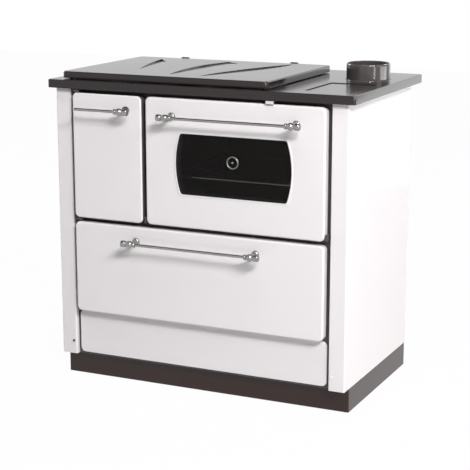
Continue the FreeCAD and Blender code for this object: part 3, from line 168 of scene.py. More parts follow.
# The flow of a fired enamel or a sprayed paint: its slow ripple, its fine orange peel, the drift of its
# tone, and a mask of the rounded edges, where the coat draws thin.
def flow_group():
    group = bpy.data.node_groups.new("enamel_flow", "ShaderNodeTree")
    face = group.interface
    for name in ("Ripple Scale", "Peel Scale"):
        face.new_socket(name, in_out="INPUT", socket_type="NodeSocketFloat")
    for name in ("Tone", "Edge", "Height"):
        face.new_socket(name, in_out="OUTPUT", socket_type="NodeSocketFloat")
    into = group.nodes.new("NodeGroupInput")
    out = group.nodes.new("NodeGroupOutput")
    place = group.nodes.new("ShaderNodeTexCoord")

    def noise(scale, detail):
        node = group.nodes.new("ShaderNodeTexNoise")
        node.inputs["Detail"].default_value = detail
        group.links.new(place.outputs["Object"], node.inputs["Vector"])
        group.links.new(into.outputs[scale], node.inputs["Scale"])
        return node.outputs["Fac"]

    def figure(operation, first, second, third=0.0):
        node = group.nodes.new("ShaderNodeMath")
        node.operation = operation
        for socket, value in zip(node.inputs, (first, second, third)):
            if isinstance(value, float):
                socket.default_value = value
            else:
                group.links.new(value, socket)
        return node.outputs[0]

    ripple = noise("Ripple Scale", 2.0)
    peel = noise("Peel Scale", 1.0)
    bend = group.nodes.new("ShaderNodeAttribute")
    bend.attribute_name = "bend"
    rounded = figure("MULTIPLY", bend.outputs["Fac"], EDGE_GAIN)
    broken = figure("MULTIPLY_ADD", peel, *EDGE_BREAK)
    edge = figure("MINIMUM", figure("MULTIPLY", rounded, broken), 1.0)
    group.links.new(ripple, out.inputs["Tone"])
    group.links.new(edge, out.inputs["Edge"])
    group.links.new(figure("MULTIPLY_ADD", peel, PEEL_SHARE, ripple), out.inputs["Height"])
    return group


enamel_flow = flow_group()


def flow_finish(name, dark, light, edge, edge_share, smooth, rough, ripple, peel, bump_mm, **sockets):
    finish = bpy.data.materials.new(name)
    finish.use_nodes = True
    tree = finish.node_tree
    bsdf = tree.nodes["Principled BSDF"]
    flow = tree.nodes.new("ShaderNodeGroup")
    flow.node_tree = enamel_flow
    flow.inputs["Ripple Scale"].default_value = ripple
    flow.inputs["Peel Scale"].default_value = peel
    tone = tree.nodes.new("ShaderNodeMix")
    tone.data_type = "RGBA"
    tone.inputs["A"].default_value = (*dark, 1)
    tone.inputs["B"].default_value = (*light, 1)
    tree.links.new(flow.outputs["Tone"], tone.inputs["Factor"])
    thin = tree.nodes.new("ShaderNodeMath")
    thin.operation = "MULTIPLY"
    thin.inputs[1].default_value = edge_share
    tree.links.new(flow.outputs["Edge"], thin.inputs[0])
    worn = tree.nodes.new("ShaderNodeMix")
    worn.data_type = "RGBA"
    worn.inputs["B"].default_value = (*edge, 1)
    tree.links.new(thin.outputs[0], worn.inputs["Factor"])
    tree.links.new(tone.outputs["Result"], worn.inputs["A"])
    tree.links.new(worn.outputs["Result"], bsdf.inputs["Base Color"])
    gloss = tree.nodes.new("ShaderNodeMapRange")
    gloss.inputs["To Min"].default_value = smooth
    gloss.inputs["To Max"].default_value = rough
    tree.links.new(flow.outputs["Tone"], gloss.inputs["Value"])
    tree.links.new(gloss.outputs["Result"], bsdf.inputs["Roughness"])
    bump = tree.nodes.new("ShaderNodeBump")
    bump.inputs["Distance"].default_value = bump_mm * MM
    tree.links.new(flow.outputs["Height"], bump.inputs["Height"])
    tree.links.new(bump.outputs["Normal"], bsdf.inputs["Normal"])
    for socket, value in sockets.items():
        bsdf.inputs[socket.replace("_", " ")].default_value = value
    return finish


plinth_enamel = flow_finish(
    "plinth_enamel", dark=(0.016, 0.0035, 0.0018), light=(0.023, 0.0065, 0.0040), edge=(0.045, 0.034, 0.03),
    edge_share=0.4, smooth=0.16, rough=0.24, ripple=5.0, peel=260.0, bump_mm=0.5, Specular_IOR_Level=0.44)
PLINTH_SHEET = 0.002
PLINTH_FOLD = 0.003
PLINTH_LIP = 0.025
WELD = 1e-6
SAME_PLACE = 1e-5
SHARP_FOLD = math.radians(35)
FACING = 0.9


def put_up(name, shape, finish, body, slot, *stands_for):
    bmesh.ops.remove_doubles(shape, verts=shape.verts, dist=WELD)
    mesh = bpy.data.meshes.new(name)
    shape.to_mesh(mesh)
    shape.free()
    mesh.materials.append(finish)
    mesh.shade_smooth()
    mesh.set_sharp_from_angle(angle=SHARP_FOLD)
    bend = mesh.attributes.new("bend", "FLOAT", "FACE")
    bend.data.foreach_set("value", [1 - max(map(abs, face.normal)) for face in mesh.polygons])
    upward = mesh.attributes.new("upward", "FLOAT", "FACE")
    upward.data.foreach_set("value", [max(face.normal.z, 0.0) for face in mesh.polygons])
    piece = bpy.data.objects.new(name, mesh)
    scene.collection.objects.link(piece)
    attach(piece, body)
    if stands_for:
        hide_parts(*stands_for)
    return piece


def block(shape, low, high):
    made = bmesh.ops.create_cube(shape, size=1.0)["verts"]
    bmesh.ops.scale(shape, vec=Vector(high) - Vector(low), verts=made)
    bmesh.ops.translate(shape, vec=(Vector(high) + Vector(low)) / 2, verts=made)


def round_edges(shape, edges, radius, steps):
    bmesh.ops.bevel(shape, geom=edges, offset=radius, offset_type="OFFSET", segments=steps, profile=0.5,
                    affect="EDGES", clamp_overlap=True, material=-1)


def along(edge, axis):
    a, b = edge.verts
    return all(abs(a.co[i] - b.co[i]) < SAME_PLACE for i in range(3) if i != axis)


def at(edge, axis, value):
    return all(abs(v.co[axis] - value) < SAME_PLACE for v in edge.verts)


def pull_out(shape, edges):
    made = bmesh.ops.extrude_edge_only(shape, edges=edges)["geom"]
    return [v for v in made if isinstance(v, bmesh.types.BMVert)]


def even_shading(piece):
    normals = piece.modifiers.new("normals", "WEIGHTED_NORMAL")
    normals.keep_sharp = True


def sheet_wall(piece, thickness):
    wall = piece.modifiers.new("sheet", "SOLIDIFY")
    wall.thickness = thickness
    wall.offset = -1.0
    wall.use_even_offset = True
    even_shading(piece)


low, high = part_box("plinth")
shape = bmesh.new()
block(shape, low, high)
round_edges(shape, [e for e in shape.edges if along(e, 2)], PLINTH_FOLD, 3)
bmesh.ops.delete(shape, geom=[f for f in shape.faces if abs(f.normal.z) > FACING], context="FACES_ONLY")
middle_y = (low.y + high.y) / 2
for level in (low.z, high.z):
    rim = [e for e in shape.edges if e.is_boundary and at(e, 2, level)]
    for v in pull_out(shape, rim):
        v.co.x -= math.copysign(PLINTH_LIP, v.co.x)
        v.co.y -= math.copysign(PLINTH_LIP, v.co.y - middle_y)
bmesh.ops.recalc_face_normals(shape, faces=shape.faces)
plinth = put_up("plinth_sheet", shape, plinth_enamel, "stove_body", "dark_enamel", "plinth")
sheet_wall(plinth, PLINTH_SHEET)

# Side panels: one white enamelled sheet each, folded at the front into a pillar and at the back into a
# flange, hung from the top frame and screwed to the front frame.
PANEL_SHEET = 0.002
PANEL_FLANGE = 0.022
PANEL_BEND = 0.0035
PILLAR_RETURN = 0.015
WHITE_DARK = (0.715, 0.683, 0.690)
WHITE_LIGHT = (0.745, 0.712, 0.720)
WHITE_THIN = (0.66, 0.64, 0.65)
WHITE_FLOW = dict(dark=WHITE_DARK, light=WHITE_LIGHT, edge=WHITE_THIN, edge_share=0.6,
                  smooth=0.10, rough=0.16, ripple=3.5, peel=320.0, bump_mm=0.5)
white_enamel = flow_finish("white_enamel", **WHITE_FLOW)
for side, name in ((-1, "left"), (1, "right")):
    low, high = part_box("side_panel_" + name)
    shape = bmesh.new()
    outer = high.x if side > 0 else low.x
    inner = low.x if side > 0 else high.x
    corners = [(outer - side * PANEL_FLANGE, high.y), (outer, high.y), (outer, low.y), (inner, low.y),
               (inner, low.y + PILLAR_RETURN)]
    verts = [shape.verts.new((x, y, low.z)) for x, y in corners]
    edges = [shape.edges.new(pair) for pair in zip(verts, verts[1:])]
    bmesh.ops.translate(shape, vec=(0, 0, high.z - low.z), verts=pull_out(shape, edges))
    shape.normal_update()
    wall = max(shape.faces, key=lambda f: abs(f.normal.x) * f.calc_area())
    if wall.normal.x * side < 0:
        bmesh.ops.reverse_faces(shape, faces=shape.faces)
    round_edges(shape, [e for e in shape.edges if along(e, 2) and not e.is_boundary], PANEL_BEND, 4)
    panel = put_up("side_sheet_" + name, shape, white_enamel, "stove_body", "white_enamel",
                   "side_panel_" + name)
    sheet_wall(panel, PANEL_SHEET)

# Front frame and the inner sheet work: plate steel in heat-resistant black. It shows as the dark gaps
# between the doors, and inside when a door, the drawer or the lid is open.
black_paint = flow_finish(
    "black_paint", dark=(0.066, 0.056, 0.058), light=(0.080, 0.069, 0.071), edge=(0.09, 0.08, 0.078),
    edge_share=0.4, smooth=0.5, rough=0.65, ripple=9.0, peel=500.0, bump_mm=0.3, Specular_IOR_Level=0.25)


def coat(names, finish):
    for node in names.split():
        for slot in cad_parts[node].material_slots:
            slot.material = finish


coat("front_frame base_pan back_panel flue_box firebox_casing deck deck_strips drawer_runners "
     "door_hinge_lugs", black_paint)

# Lower front panel: white enamelled plate screwed to the frame under the drawer and set back from it. It
# laps over the frame a little at both ends, and its corners and edges are eased before the enamel is
# fired.
LAP_LEFT = Vector((0.005, 0, 0))
LAP_RIGHT = Vector((0.003, 0, 0))
LOWER_CORNER = 0.014
LOWER_EDGE = 0.0015
low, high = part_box("lower_front_panel")
shape = bmesh.new()
block(shape, low - LAP_LEFT, high + LAP_RIGHT)
round_edges(shape, [e for e in shape.edges if along(e, 1)], LOWER_CORNER, 6)
round_edges(shape, [e for e in shape.edges if at(e, 1, low.y)], LOWER_EDGE, 3)
panel = put_up("lower_panel", shape, white_enamel, "stove_body", "white_enamel", "lower_front_panel")
even_shading(panel)

# What fills the body: mineral wool boards, firebricks round a cast grate over the ash pan, a cast
# hotplate, an enamelled oven box with its tray and a bright wire rack, and the inner plates of the doors
# and the drawer in heat-resistant black.
mineral_wool = flow_finish(
    "mineral_wool", dark=(0.42, 0.36, 0.22), light=(0.58, 0.52, 0.36), edge=(0.62, 0.56, 0.42),
    edge_share=0.5, smooth=0.9, rough=1.0, ripple=60.0, peel=900.0, bump_mm=2.0)
fireclay = flow_finish(
    "fireclay", dark=(0.50, 0.40, 0.28), light=(0.66, 0.56, 0.42), edge=(0.70, 0.60, 0.46), edge_share=0.6,
    smooth=0.85, rough=0.95, ripple=40.0, peel=700.0, bump_mm=1.0)
cast_iron = flow_finish(
    "cast_iron", dark=(0.022, 0.020, 0.020), light=(0.040, 0.037, 0.036), edge=(0.10, 0.095, 0.09),
    edge_share=0.5, smooth=0.35, rough=0.55, ripple=30.0, peel=600.0, bump_mm=0.4)
oven_enamel = flow_finish(
    "oven_enamel", dark=(0.010, 0.010, 0.011), light=(0.022, 0.022, 0.024), edge=(0.04, 0.04, 0.042),
    edge_share=0.4, smooth=0.4, rough=0.5, ripple=20.0, peel=600.0, bump_mm=0.03)
bright_wire = flow_finish(
    "bright_wire", dark=(0.72, 0.72, 0.72), light=(0.86, 0.86, 0.86), edge=(0.66, 0.66, 0.66),
    edge_share=0.0, smooth=0.18, rough=0.3, ripple=40.0, peel=600.0, bump_mm=0.1, Metallic=1.0)
coat("insulation_slabs", mineral_wool)
coat("firebricks fire_door_shield", fireclay)
coat("hotplate hotplate_ring hotplate_centre grate_frame fire_grate", cast_iron)
coat("ash_pan fire_door_liner oven_door_liner glass_retainer drawer_liner drawer_box fire_hinge_bushes "
     "oven_hinge_bushes latch_tongue air_slide", black_paint)
coat("oven_box baking_tray", oven_enamel)
coat("oven_rack", bright_wire)

# Casing screws: small round-headed steel screws through the pillars and the back into the frame.
# They are blackened at the left and coated white at the right.
COAT_CHANGE = (-0.01, 0.01)
screw_finish = flow_finish(
    "screw_finish", dark=(0.050, 0.042, 0.044), light=(0.062, 0.053, 0.055), edge=(0.08, 0.07, 0.068),
    edge_share=0.4, smooth=0.4, rough=0.5, ripple=9.0, peel=500.0, bump_mm=0.1)


def tone_over_span(finish, axis, span, colour):
    tree = finish.node_tree
    base_color = tree.nodes["Principled BSDF"].inputs["Base Color"]
    place = tree.nodes.new("ShaderNodeTexCoord")
    apart = tree.nodes.new("ShaderNodeSeparateXYZ")
    reach = tree.nodes.new("ShaderNodeMapRange")
    reach.inputs["From Min"].default_value, reach.inputs["From Max"].default_value = span
    over = tree.nodes.new("ShaderNodeMix")
    over.data_type = "RGBA"
    over.inputs["B"].default_value = (*colour, 1)
    tree.links.new(place.outputs["Object"], apart.inputs[0])
    tree.links.new(apart.outputs[axis], reach.inputs["Value"])
    tree.links.new(reach.outputs["Result"], over.inputs["Factor"])
    tree.links.new(base_color.links[0].from_socket, over.inputs["A"])
    tree.links.new(over.outputs["Result"], base_color)


tone_over_span(screw_finish, "X", COAT_CHANGE, WHITE_LIGHT)
coat("casing_screws", screw_finish)

# Rope seals: woven glass-fibre rope, glued round the inner side of both doors.
# A shut door presses it against the front frame.
rope = flow_finish(
    "glass_rope", dark=(0.40, 0.38, 0.35), light=(0.58, 0.55, 0.51), edge=(0.6, 0.57, 0.53), edge_share=0.3,
    smooth=0.9, rough=1.0, ripple=300.0, peel=900.0, bump_mm=2.0)
coat("fire_door_gasket oven_door_gasket", rope)

# Doors and drawer front: pressed sheet pans with rounded corners and a folded return. On the fire door the
# returns behind the fold are painted dark, as painted shade for the shaded gap beside the oven door.
PAN_SHEET = 0.002
PAN_CORNER = 0.014
PAN_ROLL = 0.005
PAINTED_SHADE_SPAN = (-0.2488, -0.2470)
PAINTED_GAP_SHADE = (0.09, 0.078, 0.08)
fire_pan_enamel_and_painted_shade = flow_finish("fire_pan_enamel_and_painted_shade", **WHITE_FLOW)
# Painted shade: the fire door's white is toned dark behind the fold, standing in for the shade in the gap.
tone_over_span(fire_pan_enamel_and_painted_shade, "Y", PAINTED_SHADE_SPAN, PAINTED_GAP_SHADE)


def pressed_pan(node):
    low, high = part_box(node)
    shape = bmesh.new()
    block(shape, low, high)
    round_edges(shape, [e for e in shape.edges if along(e, 1)], PAN_CORNER, 8)
    round_edges(shape, [e for e in shape.edges if at(e, 1, low.y)], PAN_ROLL, 8)
    bmesh.ops.delete(shape, geom=[f for f in shape.faces if f.normal.y > FACING], context="FACES_ONLY")
    return shape


for node, body, finish in (("drawer_front", "wood_drawer", white_enamel),
                           ("fire_door_panel", "fire_door", fire_pan_enamel_and_painted_shade)):
    pan = put_up(node + "_pan", pressed_pan(node), finish, body, "white_enamel", node)
    sheet_wall(pan, PAN_SHEET)

# Oven door: the same pressed pan with a window cut out of it, straight above and below and bowed at its
# sides. The edge of the cut-out is turned in towards the glass.
OVEN_PAN_SHEET = 0.0015
WINDOW_TURN_IN = 0.0015
WINDOW_X, WINDOW_Z = 0.113, 0.643
WINDOW_HALF_W, WINDOW_HALF_H = 0.154, 0.0825
WINDOW_BULGE = 0.014
WINDOW_CORNER = 0.006
SIDE_STEPS = 24
FILL_NEAR = 1e-7


# One loop round the window at a distance from its edge, with bowed sides and rounded corners.
def window_loop(shape, grow, y):
    w = WINDOW_HALF_W + grow
    h = WINDOW_HALF_H + grow
    radius = (h * h + WINDOW_BULGE ** 2) / (2 * WINDOW_BULGE)
    count = 2 * (SIDE_STEPS + 1)
    loop = bmesh.ops.create_circle(shape, segments=count, radius=w)["verts"]
    for v in loop:
        place = round(math.atan2(v.co.x, v.co.y) / math.tau * count) % count
        side, step = divmod(place, SIDE_STEPS + 1)
        outward = -1 if side else 1
        z = outward * h * math.cos(math.pi * step / SIDE_STEPS)
        into_corner = max(WINDOW_CORNER - (h - abs(z)), 0.0)
        inset = WINDOW_CORNER - math.sqrt(WINDOW_CORNER ** 2 - into_corner ** 2)
        bow = math.sqrt(max(radius ** 2 - z ** 2, 0.0)) - (radius - WINDOW_BULGE)
        v.co = (outward * (w + bow - inset), y, z)
    bmesh.ops.translate(shape, vec=(WINDOW_X, 0, WINDOW_Z), verts=loop)
    return list(dict.fromkeys(e for v in loop for e in v.link_edges))


# Fills the flat area between loops of edges and leaves what lies inside a cut-out open.
def flat_fill(shape, edges, across, up):
    corners = list(dict.fromkeys(v for e in edges for v in e.verts))
    number = {v: i for i, v in enumerate(corners)}
    spots = [Vector((v.co[across], v.co[up])) for v in corners]
    lines = [[number[v] for v in e.verts] for e in edges]
    places, _, triangles, sources, _, _ = delaunay_2d_cdt(spots, lines, [], 1, FILL_NEAR)
    for triangle in triangles:
        first, second, third = (places[i] for i in triangle)
        middle = (first + second + third) / 3
        crossed = 0
        for a, b in ((spots[i], spots[j]) for i, j in lines):
            if (a.y > middle.y) != (b.y > middle.y):
                crossed += middle.x < a.x + (b.x - a.x) * (middle.y - a.y) / (b.y - a.y)
        if crossed % 2:
            shape.faces.new([corners[sources[i][0]] for i in triangle])


shape = pressed_pan("oven_door_panel")
face_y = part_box("oven_door_panel")[0].y
front = max(shape.faces, key=lambda f: -f.normal.y * f.calc_area())
rim = list(front.edges)
bmesh.ops.delete(shape, geom=[front], context="FACES_ONLY")
hole = window_loop(shape, 0.0, face_y)
flat_fill(shape, rim + hole, 0, 2)
bmesh.ops.translate(shape, vec=(0, WINDOW_TURN_IN, 0), verts=pull_out(shape, hole))
bmesh.ops.recalc_face_normals(shape, faces=shape.faces)
pan = put_up("oven_door_pan", shape, white_enamel, "oven_door", "white_enamel", "oven_door_panel")
sheet_wall(pan, OVEN_PAN_SHEET)

# Window: a low bead of white enamel on the door round the cut-out, rounded at the glass and sloping out
# to the door, and dark heat-resistant glass held behind it by the retainer.
BEAD_SECTION = ((-0.0002, 0.0015), (-0.0002, -0.0011), (0.0006, -0.0014), (0.0018, -0.0013),
                (0.0034, -0.0008), (0.0048, 0.0002))
shape = bmesh.new()
loops = [window_loop(shape, grow, face_y + back) for grow, back in BEAD_SECTION]
for inner_loop, outer_loop in zip(loops, loops[1:]):
    bmesh.ops.bridge_loops(shape, edges=inner_loop + outer_loop)
bmesh.ops.recalc_face_normals(shape, faces=shape.faces)
bead_enamel = flow_finish(
    "bead_enamel", dark=WHITE_DARK, light=WHITE_LIGHT, edge=WHITE_THIN, edge_share=0.0, smooth=0.08,
    rough=0.12, ripple=8.0, peel=320.0, bump_mm=0.2)
put_up("window_bead", shape, bead_enamel, "oven_door", "white_enamel", "window_trim")

smoked_glass = flow_finish(
    "smoked_glass", dark=(0.004, 0.0036, 0.0034), light=(0.009, 0.007, 0.006), edge=(0.01, 0.01, 0.01),
    edge_share=0.0, smooth=0.02, rough=0.04, ripple=2.0, peel=90.0, bump_mm=0.004, Specular_IOR_Level=0.15,
    Alpha=0.45)
coat("oven_glass", smoked_glass)

# Thermometer: a spun bright bezel on the glass round a dark dished face, with a hub that holds the
# needle. Its stem goes through a hole in the glass. The profiles give the radius and the height over the
# glass in mm.
BEZEL_PROFILE = ((17.0, 0.0), (17.0, 3.4), (16.6, 4.4), (15.9, 5.0), (14.9, 5.0), (14.2, 4.4), (13.9, 3.2),
                 (13.9, 1.6))
FACE_PROFILE = ((14.2, 1.9), (11.0, 1.7), (6.0, 1.5), (0.0, 1.5))
HUB_PROFILE = ((2.6, 2.6), (2.6, 3.6), (2.2, 4.2), (1.2, 4.6), (0.0, 4.7))


def turn_profile(shape, points, centre, axis, steps):
    verts = [shape.verts.new(p) for p in points]
    edges = [shape.edges.new(pair) for pair in zip(verts, verts[1:])]
    bmesh.ops.spin(shape, geom=verts + edges, cent=centre, axis=axis, dvec=(0, 0, 0), angle=math.tau,
                   steps=steps, use_merge=True, use_duplicate=False)
    bmesh.ops.remove_doubles(shape, verts=shape.verts, dist=WELD)
    bmesh.ops.recalc_face_normals(shape, faces=shape.faces)


low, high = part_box("thermometer_case")
glass_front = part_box("oven_glass")[0].y
dial_x, dial_z = (low.x + high.x) / 2, (low.z + high.z) / 2
dial_black = flow_finish(
    "dial_black", dark=(0.003, 0.003, 0.003), light=(0.006, 0.0055, 0.005), edge=(0.01, 0.01, 0.01),
    edge_share=0.0, smooth=0.5, rough=0.6, ripple=30.0, peel=900.0, bump_mm=0.02, Specular_IOR_Level=0.05)
dial_steel = flow_finish(
    "dial_steel", dark=(0.24, 0.24, 0.235), light=(0.32, 0.32, 0.315), edge=(0.3, 0.3, 0.3), edge_share=0.0,
    smooth=0.3, rough=0.4, ripple=60.0, peel=900.0, bump_mm=0.05, Metallic=1.0)
needle_grey = flow_finish(
    "needle_grey", dark=(0.03, 0.03, 0.032), light=(0.06, 0.06, 0.062), edge=(0.1, 0.1, 0.1), edge_share=0.0,
    smooth=0.4, rough=0.5, ripple=60.0, peel=900.0, bump_mm=0.02)
for name, profile, finish, body, slot, nodes in (
        ("thermometer_bezel", BEZEL_PROFILE, dial_steel, "oven_door", "steel", ("thermometer_case",)),
        ("thermometer_face", FACE_PROFILE, dial_black, "oven_door", "dark_enamel", ()),
        ("needle_hub", HUB_PROFILE, dial_steel, "needle", "steel", ())):
    shape = bmesh.new()
    points = [(dial_x + r * MM, glass_front - out * MM, dial_z) for r, out in profile]
    turn_profile(shape, points, (dial_x, 0, dial_z), (0, 1, 0), 64)
    put_up(name, shape, finish, body, slot, *nodes)
coat("thermometer_needle", needle_grey)

# Handles: a chromed bar between two turned brackets, each with an end knob, a neck, a ball on its post
# and a ringed sleeve for the bar; the post stands on a rosette on the door. The profiles give in mm the
# place along the bar and the radius, or the radius and the height over the door.
# The chrome's dark colour is painted shade: it stands in for the dark room that the bars reflect.
chrome = flow_finish(
    "chrome", dark=(0.26, 0.255, 0.25), light=(0.34, 0.335, 0.33), edge=(0.4, 0.4, 0.4), edge_share=0.0,
    smooth=0.05, rough=0.12, ripple=30.0, peel=500.0, bump_mm=0.05, Metallic=1.0)
KNOB_PROFILE = ((0.0, 0.0), (0.0, 5.5), (0.5, 7.8), (1.8, 9.1), (4.0, 9.5), (11.0, 9.5), (13.4, 9.0),
                (14.8, 7.8), (15.4, 6.4), (17.2, 6.0))
BALL_PROFILE = ((18.2, 6.9), (19.8, 8.3), (22.0, 9.4), (24.0, 9.9), (26.0, 10.0), (28.0, 9.9), (30.0, 9.4),
                (32.0, 8.3), (33.4, 6.9), (34.2, 6.0))
SLEEVE_PROFILE = ((35.2, 6.0), (35.8, 7.0), (36.8, 7.6), (41.4, 7.6), (42.6, 7.0), (43.2, 6.0), (43.2, 4.0),
                  (42.8, 4.0))
POST_PROFILE = ((0.0, 0.0), (11.0, 0.0), (11.0, 2.2), (10.4, 3.4), (9.0, 4.0), (7.6, 5.2), (6.6, 7.5),
                (6.0, 11.0), (6.0, 30.0))
POST_PLACE = 0.026
BAR_AXIS_Y = -0.289
BAR_RADIUS = 0.004
BAR_TIP = 0.0024
BAR_EASE = 0.0016


def turn_bracket(shape, tip_x, inward, z):
    profile = KNOB_PROFILE + BALL_PROFILE + SLEEVE_PROFILE
    points = [(tip_x + inward * along_x * MM, BAR_AXIS_Y, z + r * MM) for along_x, r in profile]
    turn_profile(shape, points, (0, BAR_AXIS_Y, z), (1, 0, 0), 40)


def turn_post(shape, x, door_y, z):
    points = [(x + r * MM, door_y - out * MM, z) for r, out in POST_PROFILE]
    turn_profile(shape, points, (x, 0, z), (0, 1, 0), 40)


def turn_bar(shape, x0, x1, z):
    profile = ((x0, 0.0), (x0, BAR_TIP), (x0 + BAR_EASE, BAR_RADIUS),
               (x1 - BAR_EASE, BAR_RADIUS), (x1, BAR_TIP), (x1, 0.0))
    points = [(x, BAR_AXIS_Y, z + r) for x, r in profile]
    turn_profile(shape, points, (0, BAR_AXIS_Y, z), (1, 0, 0), 40)


for name, body, door in (("oven_handle", "oven_door", "oven_door_panel"),
                         ("drawer_handle", "wood_drawer", "drawer_front")):
    ends_low, ends_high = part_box(name + "_ends")
    bar_low, bar_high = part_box(name + "_bar")
    door_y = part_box(door)[0].y
    z = (bar_low.z + bar_high.z) / 2
    shape = bmesh.new()
    for tip_x, inward in ((ends_low.x, 1), (ends_high.x, -1)):
        turn_bracket(shape, tip_x, inward, z)
        turn_post(shape, tip_x + inward * POST_PLACE, door_y, z)
    put_up(name + "_brackets", shape, chrome, body, "chrome", name + "_ends")
    shape = bmesh.new()
    turn_bar(shape, bar_low.x, bar_high.x, z)
    put_up(name + "_rod", shape, chrome, body, "chrome", name + "_bar")

# Fire door lever: the same chromed bar with one turned bracket, on a spindle that goes through a rosette
# and the door to the latch tongue. Its left end is free and lifts.
SPINDLE_RADIUS = 0.006
SPINDLE_NECK = 0.0045
SPINDLE_STEP = 0.0005
knuckle_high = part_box("lever_knuckle")[1]
bar_low, bar_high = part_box("lever_bar")
z = (bar_low.z + bar_high.z) / 2
rosette_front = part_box("latch_rosette")[0].y
spindle_x = knuckle_high.x - POST_PLACE
shape = bmesh.new()
turn_bracket(shape, knuckle_high.x, -1, z)
profile = ((SPINDLE_RADIUS, BAR_AXIS_Y), (SPINDLE_RADIUS, rosette_front),
           (SPINDLE_NECK, rosette_front + SPINDLE_STEP), (SPINDLE_NECK, knuckle_high.y))
points = [(spindle_x + r, y, z) for r, y in profile]
turn_profile(shape, points, (spindle_x, 0, z), (0, 1, 0), 40)
put_up("lever_bracket", shape, chrome, "fire_latch", "chrome", "lever_knuckle")
shape = bmesh.new()
turn_bar(shape, bar_low.x, bar_high.x, z)
put_up("lever_rod", shape, chrome, "fire_latch", "chrome", "lever_bar")
coat("latch_rosette", chrome)

# Start-up damper: a bent steel plate that slides in the smoke way and is pulled out to light the fire.
# Only its bright pull shows, in the gap over the oven door.
bare_steel = flow_finish(
    "bare_steel", dark=(0.72, 0.71, 0.70), light=(0.84, 0.83, 0.82), edge=(0.86, 0.86, 0.86), edge_share=0.3,
    smooth=0.25, rough=0.4, ripple=60.0, peel=800.0, bump_mm=0.1, Metallic=1.0)
coat("damper_slide", bare_steel)

# Top frame: plate steel folded down all round into a skirt, in the dark enamel. It is cut out over the
# hotplate, over the smoke passage and round the flue, and the edges of the cut-outs are turned down.
# Its upper faces are duller than the skirt, from scouring.
TOP_SHEET = 0.002
TOP_CORNER = 0.008
TOP_ROLL = 0.003
TURN_DOWN = 0.012
SCOURED = 0.085
SCOURED_FACING = (0.95, 1.0)
LEVEL = 0.99
dark_enamel = flow_finish(
    "dark_enamel", dark=(0.0130, 0.0082, 0.0090), light=(0.019, 0.0130, 0.0135), edge=(0.045, 0.036, 0.034),
    edge_share=0.5, smooth=0.06, rough=0.10, ripple=5.0, peel=260.0, bump_mm=0.6, Specular_IOR_Level=0.42)
tree = dark_enamel.node_tree
roughness = tree.nodes["Principled BSDF"].inputs["Roughness"]
facing = tree.nodes.new("ShaderNodeAttribute")
facing.attribute_name = "upward"
upward = tree.nodes.new("ShaderNodeMapRange")
upward.inputs["From Min"].default_value, upward.inputs["From Max"].default_value = SCOURED_FACING
upward.inputs["To Max"].default_value = SCOURED
scoured = tree.nodes.new("ShaderNodeMath")
tree.links.new(facing.outputs["Fac"], upward.inputs["Value"])
tree.links.new(roughness.links[0].from_socket, scoured.inputs[0])
tree.links.new(upward.outputs["Result"], scoured.inputs[1])
tree.links.new(scoured.outputs[0], roughness)
PLATE_CUT = ((-0.385, 0.165), (-0.181, 0.199))
PLATE_CORNER = 0.006
COVER_CUT = ((0.2892, 0.4208), (-0.1918, 0.0018))
COVER_CORNER = 0.004
FLUE_CUT_RADIUS = 0.0635
FLUE_X, FLUE_Y = 0.355, 0.109


def cut_out(shape, edges, corner, z):
    (x0, x1), (y0, y1) = edges
    others = set(shape.faces)
    pane = bmesh.ops.create_grid(shape, x_segments=1, y_segments=1, size=0.5)["verts"]
    bmesh.ops.scale(shape, vec=(x1 - x0, y1 - y0, 1), verts=pane)
    bmesh.ops.translate(shape, vec=((x0 + x1) / 2, (y0 + y1) / 2, z), verts=pane)
    bmesh.ops.bevel(shape, geom=pane, offset=corner, offset_type="OFFSET", segments=4, profile=0.5,
                    affect="VERTICES", material=-1)
    bmesh.ops.delete(shape, geom=[f for f in shape.faces if f not in others], context="FACES_ONLY")


low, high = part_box("top_frame")
shape = bmesh.new()
block(shape, low, high)
round_edges(shape, [e for e in shape.edges if along(e, 2)], TOP_CORNER, 6)
round_edges(shape, [e for e in shape.edges if at(e, 2, high.z)], TOP_ROLL, 4)
flat = [f for f in shape.faces if abs(f.normal.z) > LEVEL]
rim = list(max(flat, key=lambda f: f.calc_center_median().z).edges)
bmesh.ops.delete(shape, geom=flat, context="FACES_ONLY")
cut_out(shape, PLATE_CUT, PLATE_CORNER, high.z)
cut_out(shape, COVER_CUT, COVER_CORNER, high.z)
flue_hole = bmesh.ops.create_circle(shape, segments=72, radius=FLUE_CUT_RADIUS)["verts"]
bmesh.ops.translate(shape, vec=(FLUE_X, FLUE_Y, high.z), verts=flue_hole)
cuts = [e for e in shape.edges if e.is_wire]
flat_fill(shape, rim + cuts, 0, 1)
bmesh.ops.translate(shape, vec=(0, 0, -TURN_DOWN), verts=pull_out(shape, cuts))
bmesh.ops.recalc_face_normals(shape, faces=shape.faces)
top_piece = put_up("top_frame_plate", shape, dark_enamel, "stove_body", "dark_enamel", "top_frame")
sheet_wall(top_piece, TOP_SHEET)

# Cleaning cover: a loose plate in the dark enamel over the smoke passage.
# It lies in its cut-out a little below the top, and lifts off for sweeping.
COVER_DROP = 0.0018
COVER_EDGE = 0.0005
low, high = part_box("cleaning_cover")
cover_top = high.z - COVER_DROP
shape = bmesh.new()
block(shape, low, (high.x, high.y, cover_top))
round_edges(shape, [e for e in shape.edges if along(e, 2)], COVER_CORNER, 4)
round_edges(shape, [e for e in shape.edges if at(e, 2, cover_top)], COVER_EDGE, 2)
cover = put_up("cover_plate", shape, dark_enamel, "cleaning_cover", "dark_enamel", "cleaning_cover")
even_shading(cover)

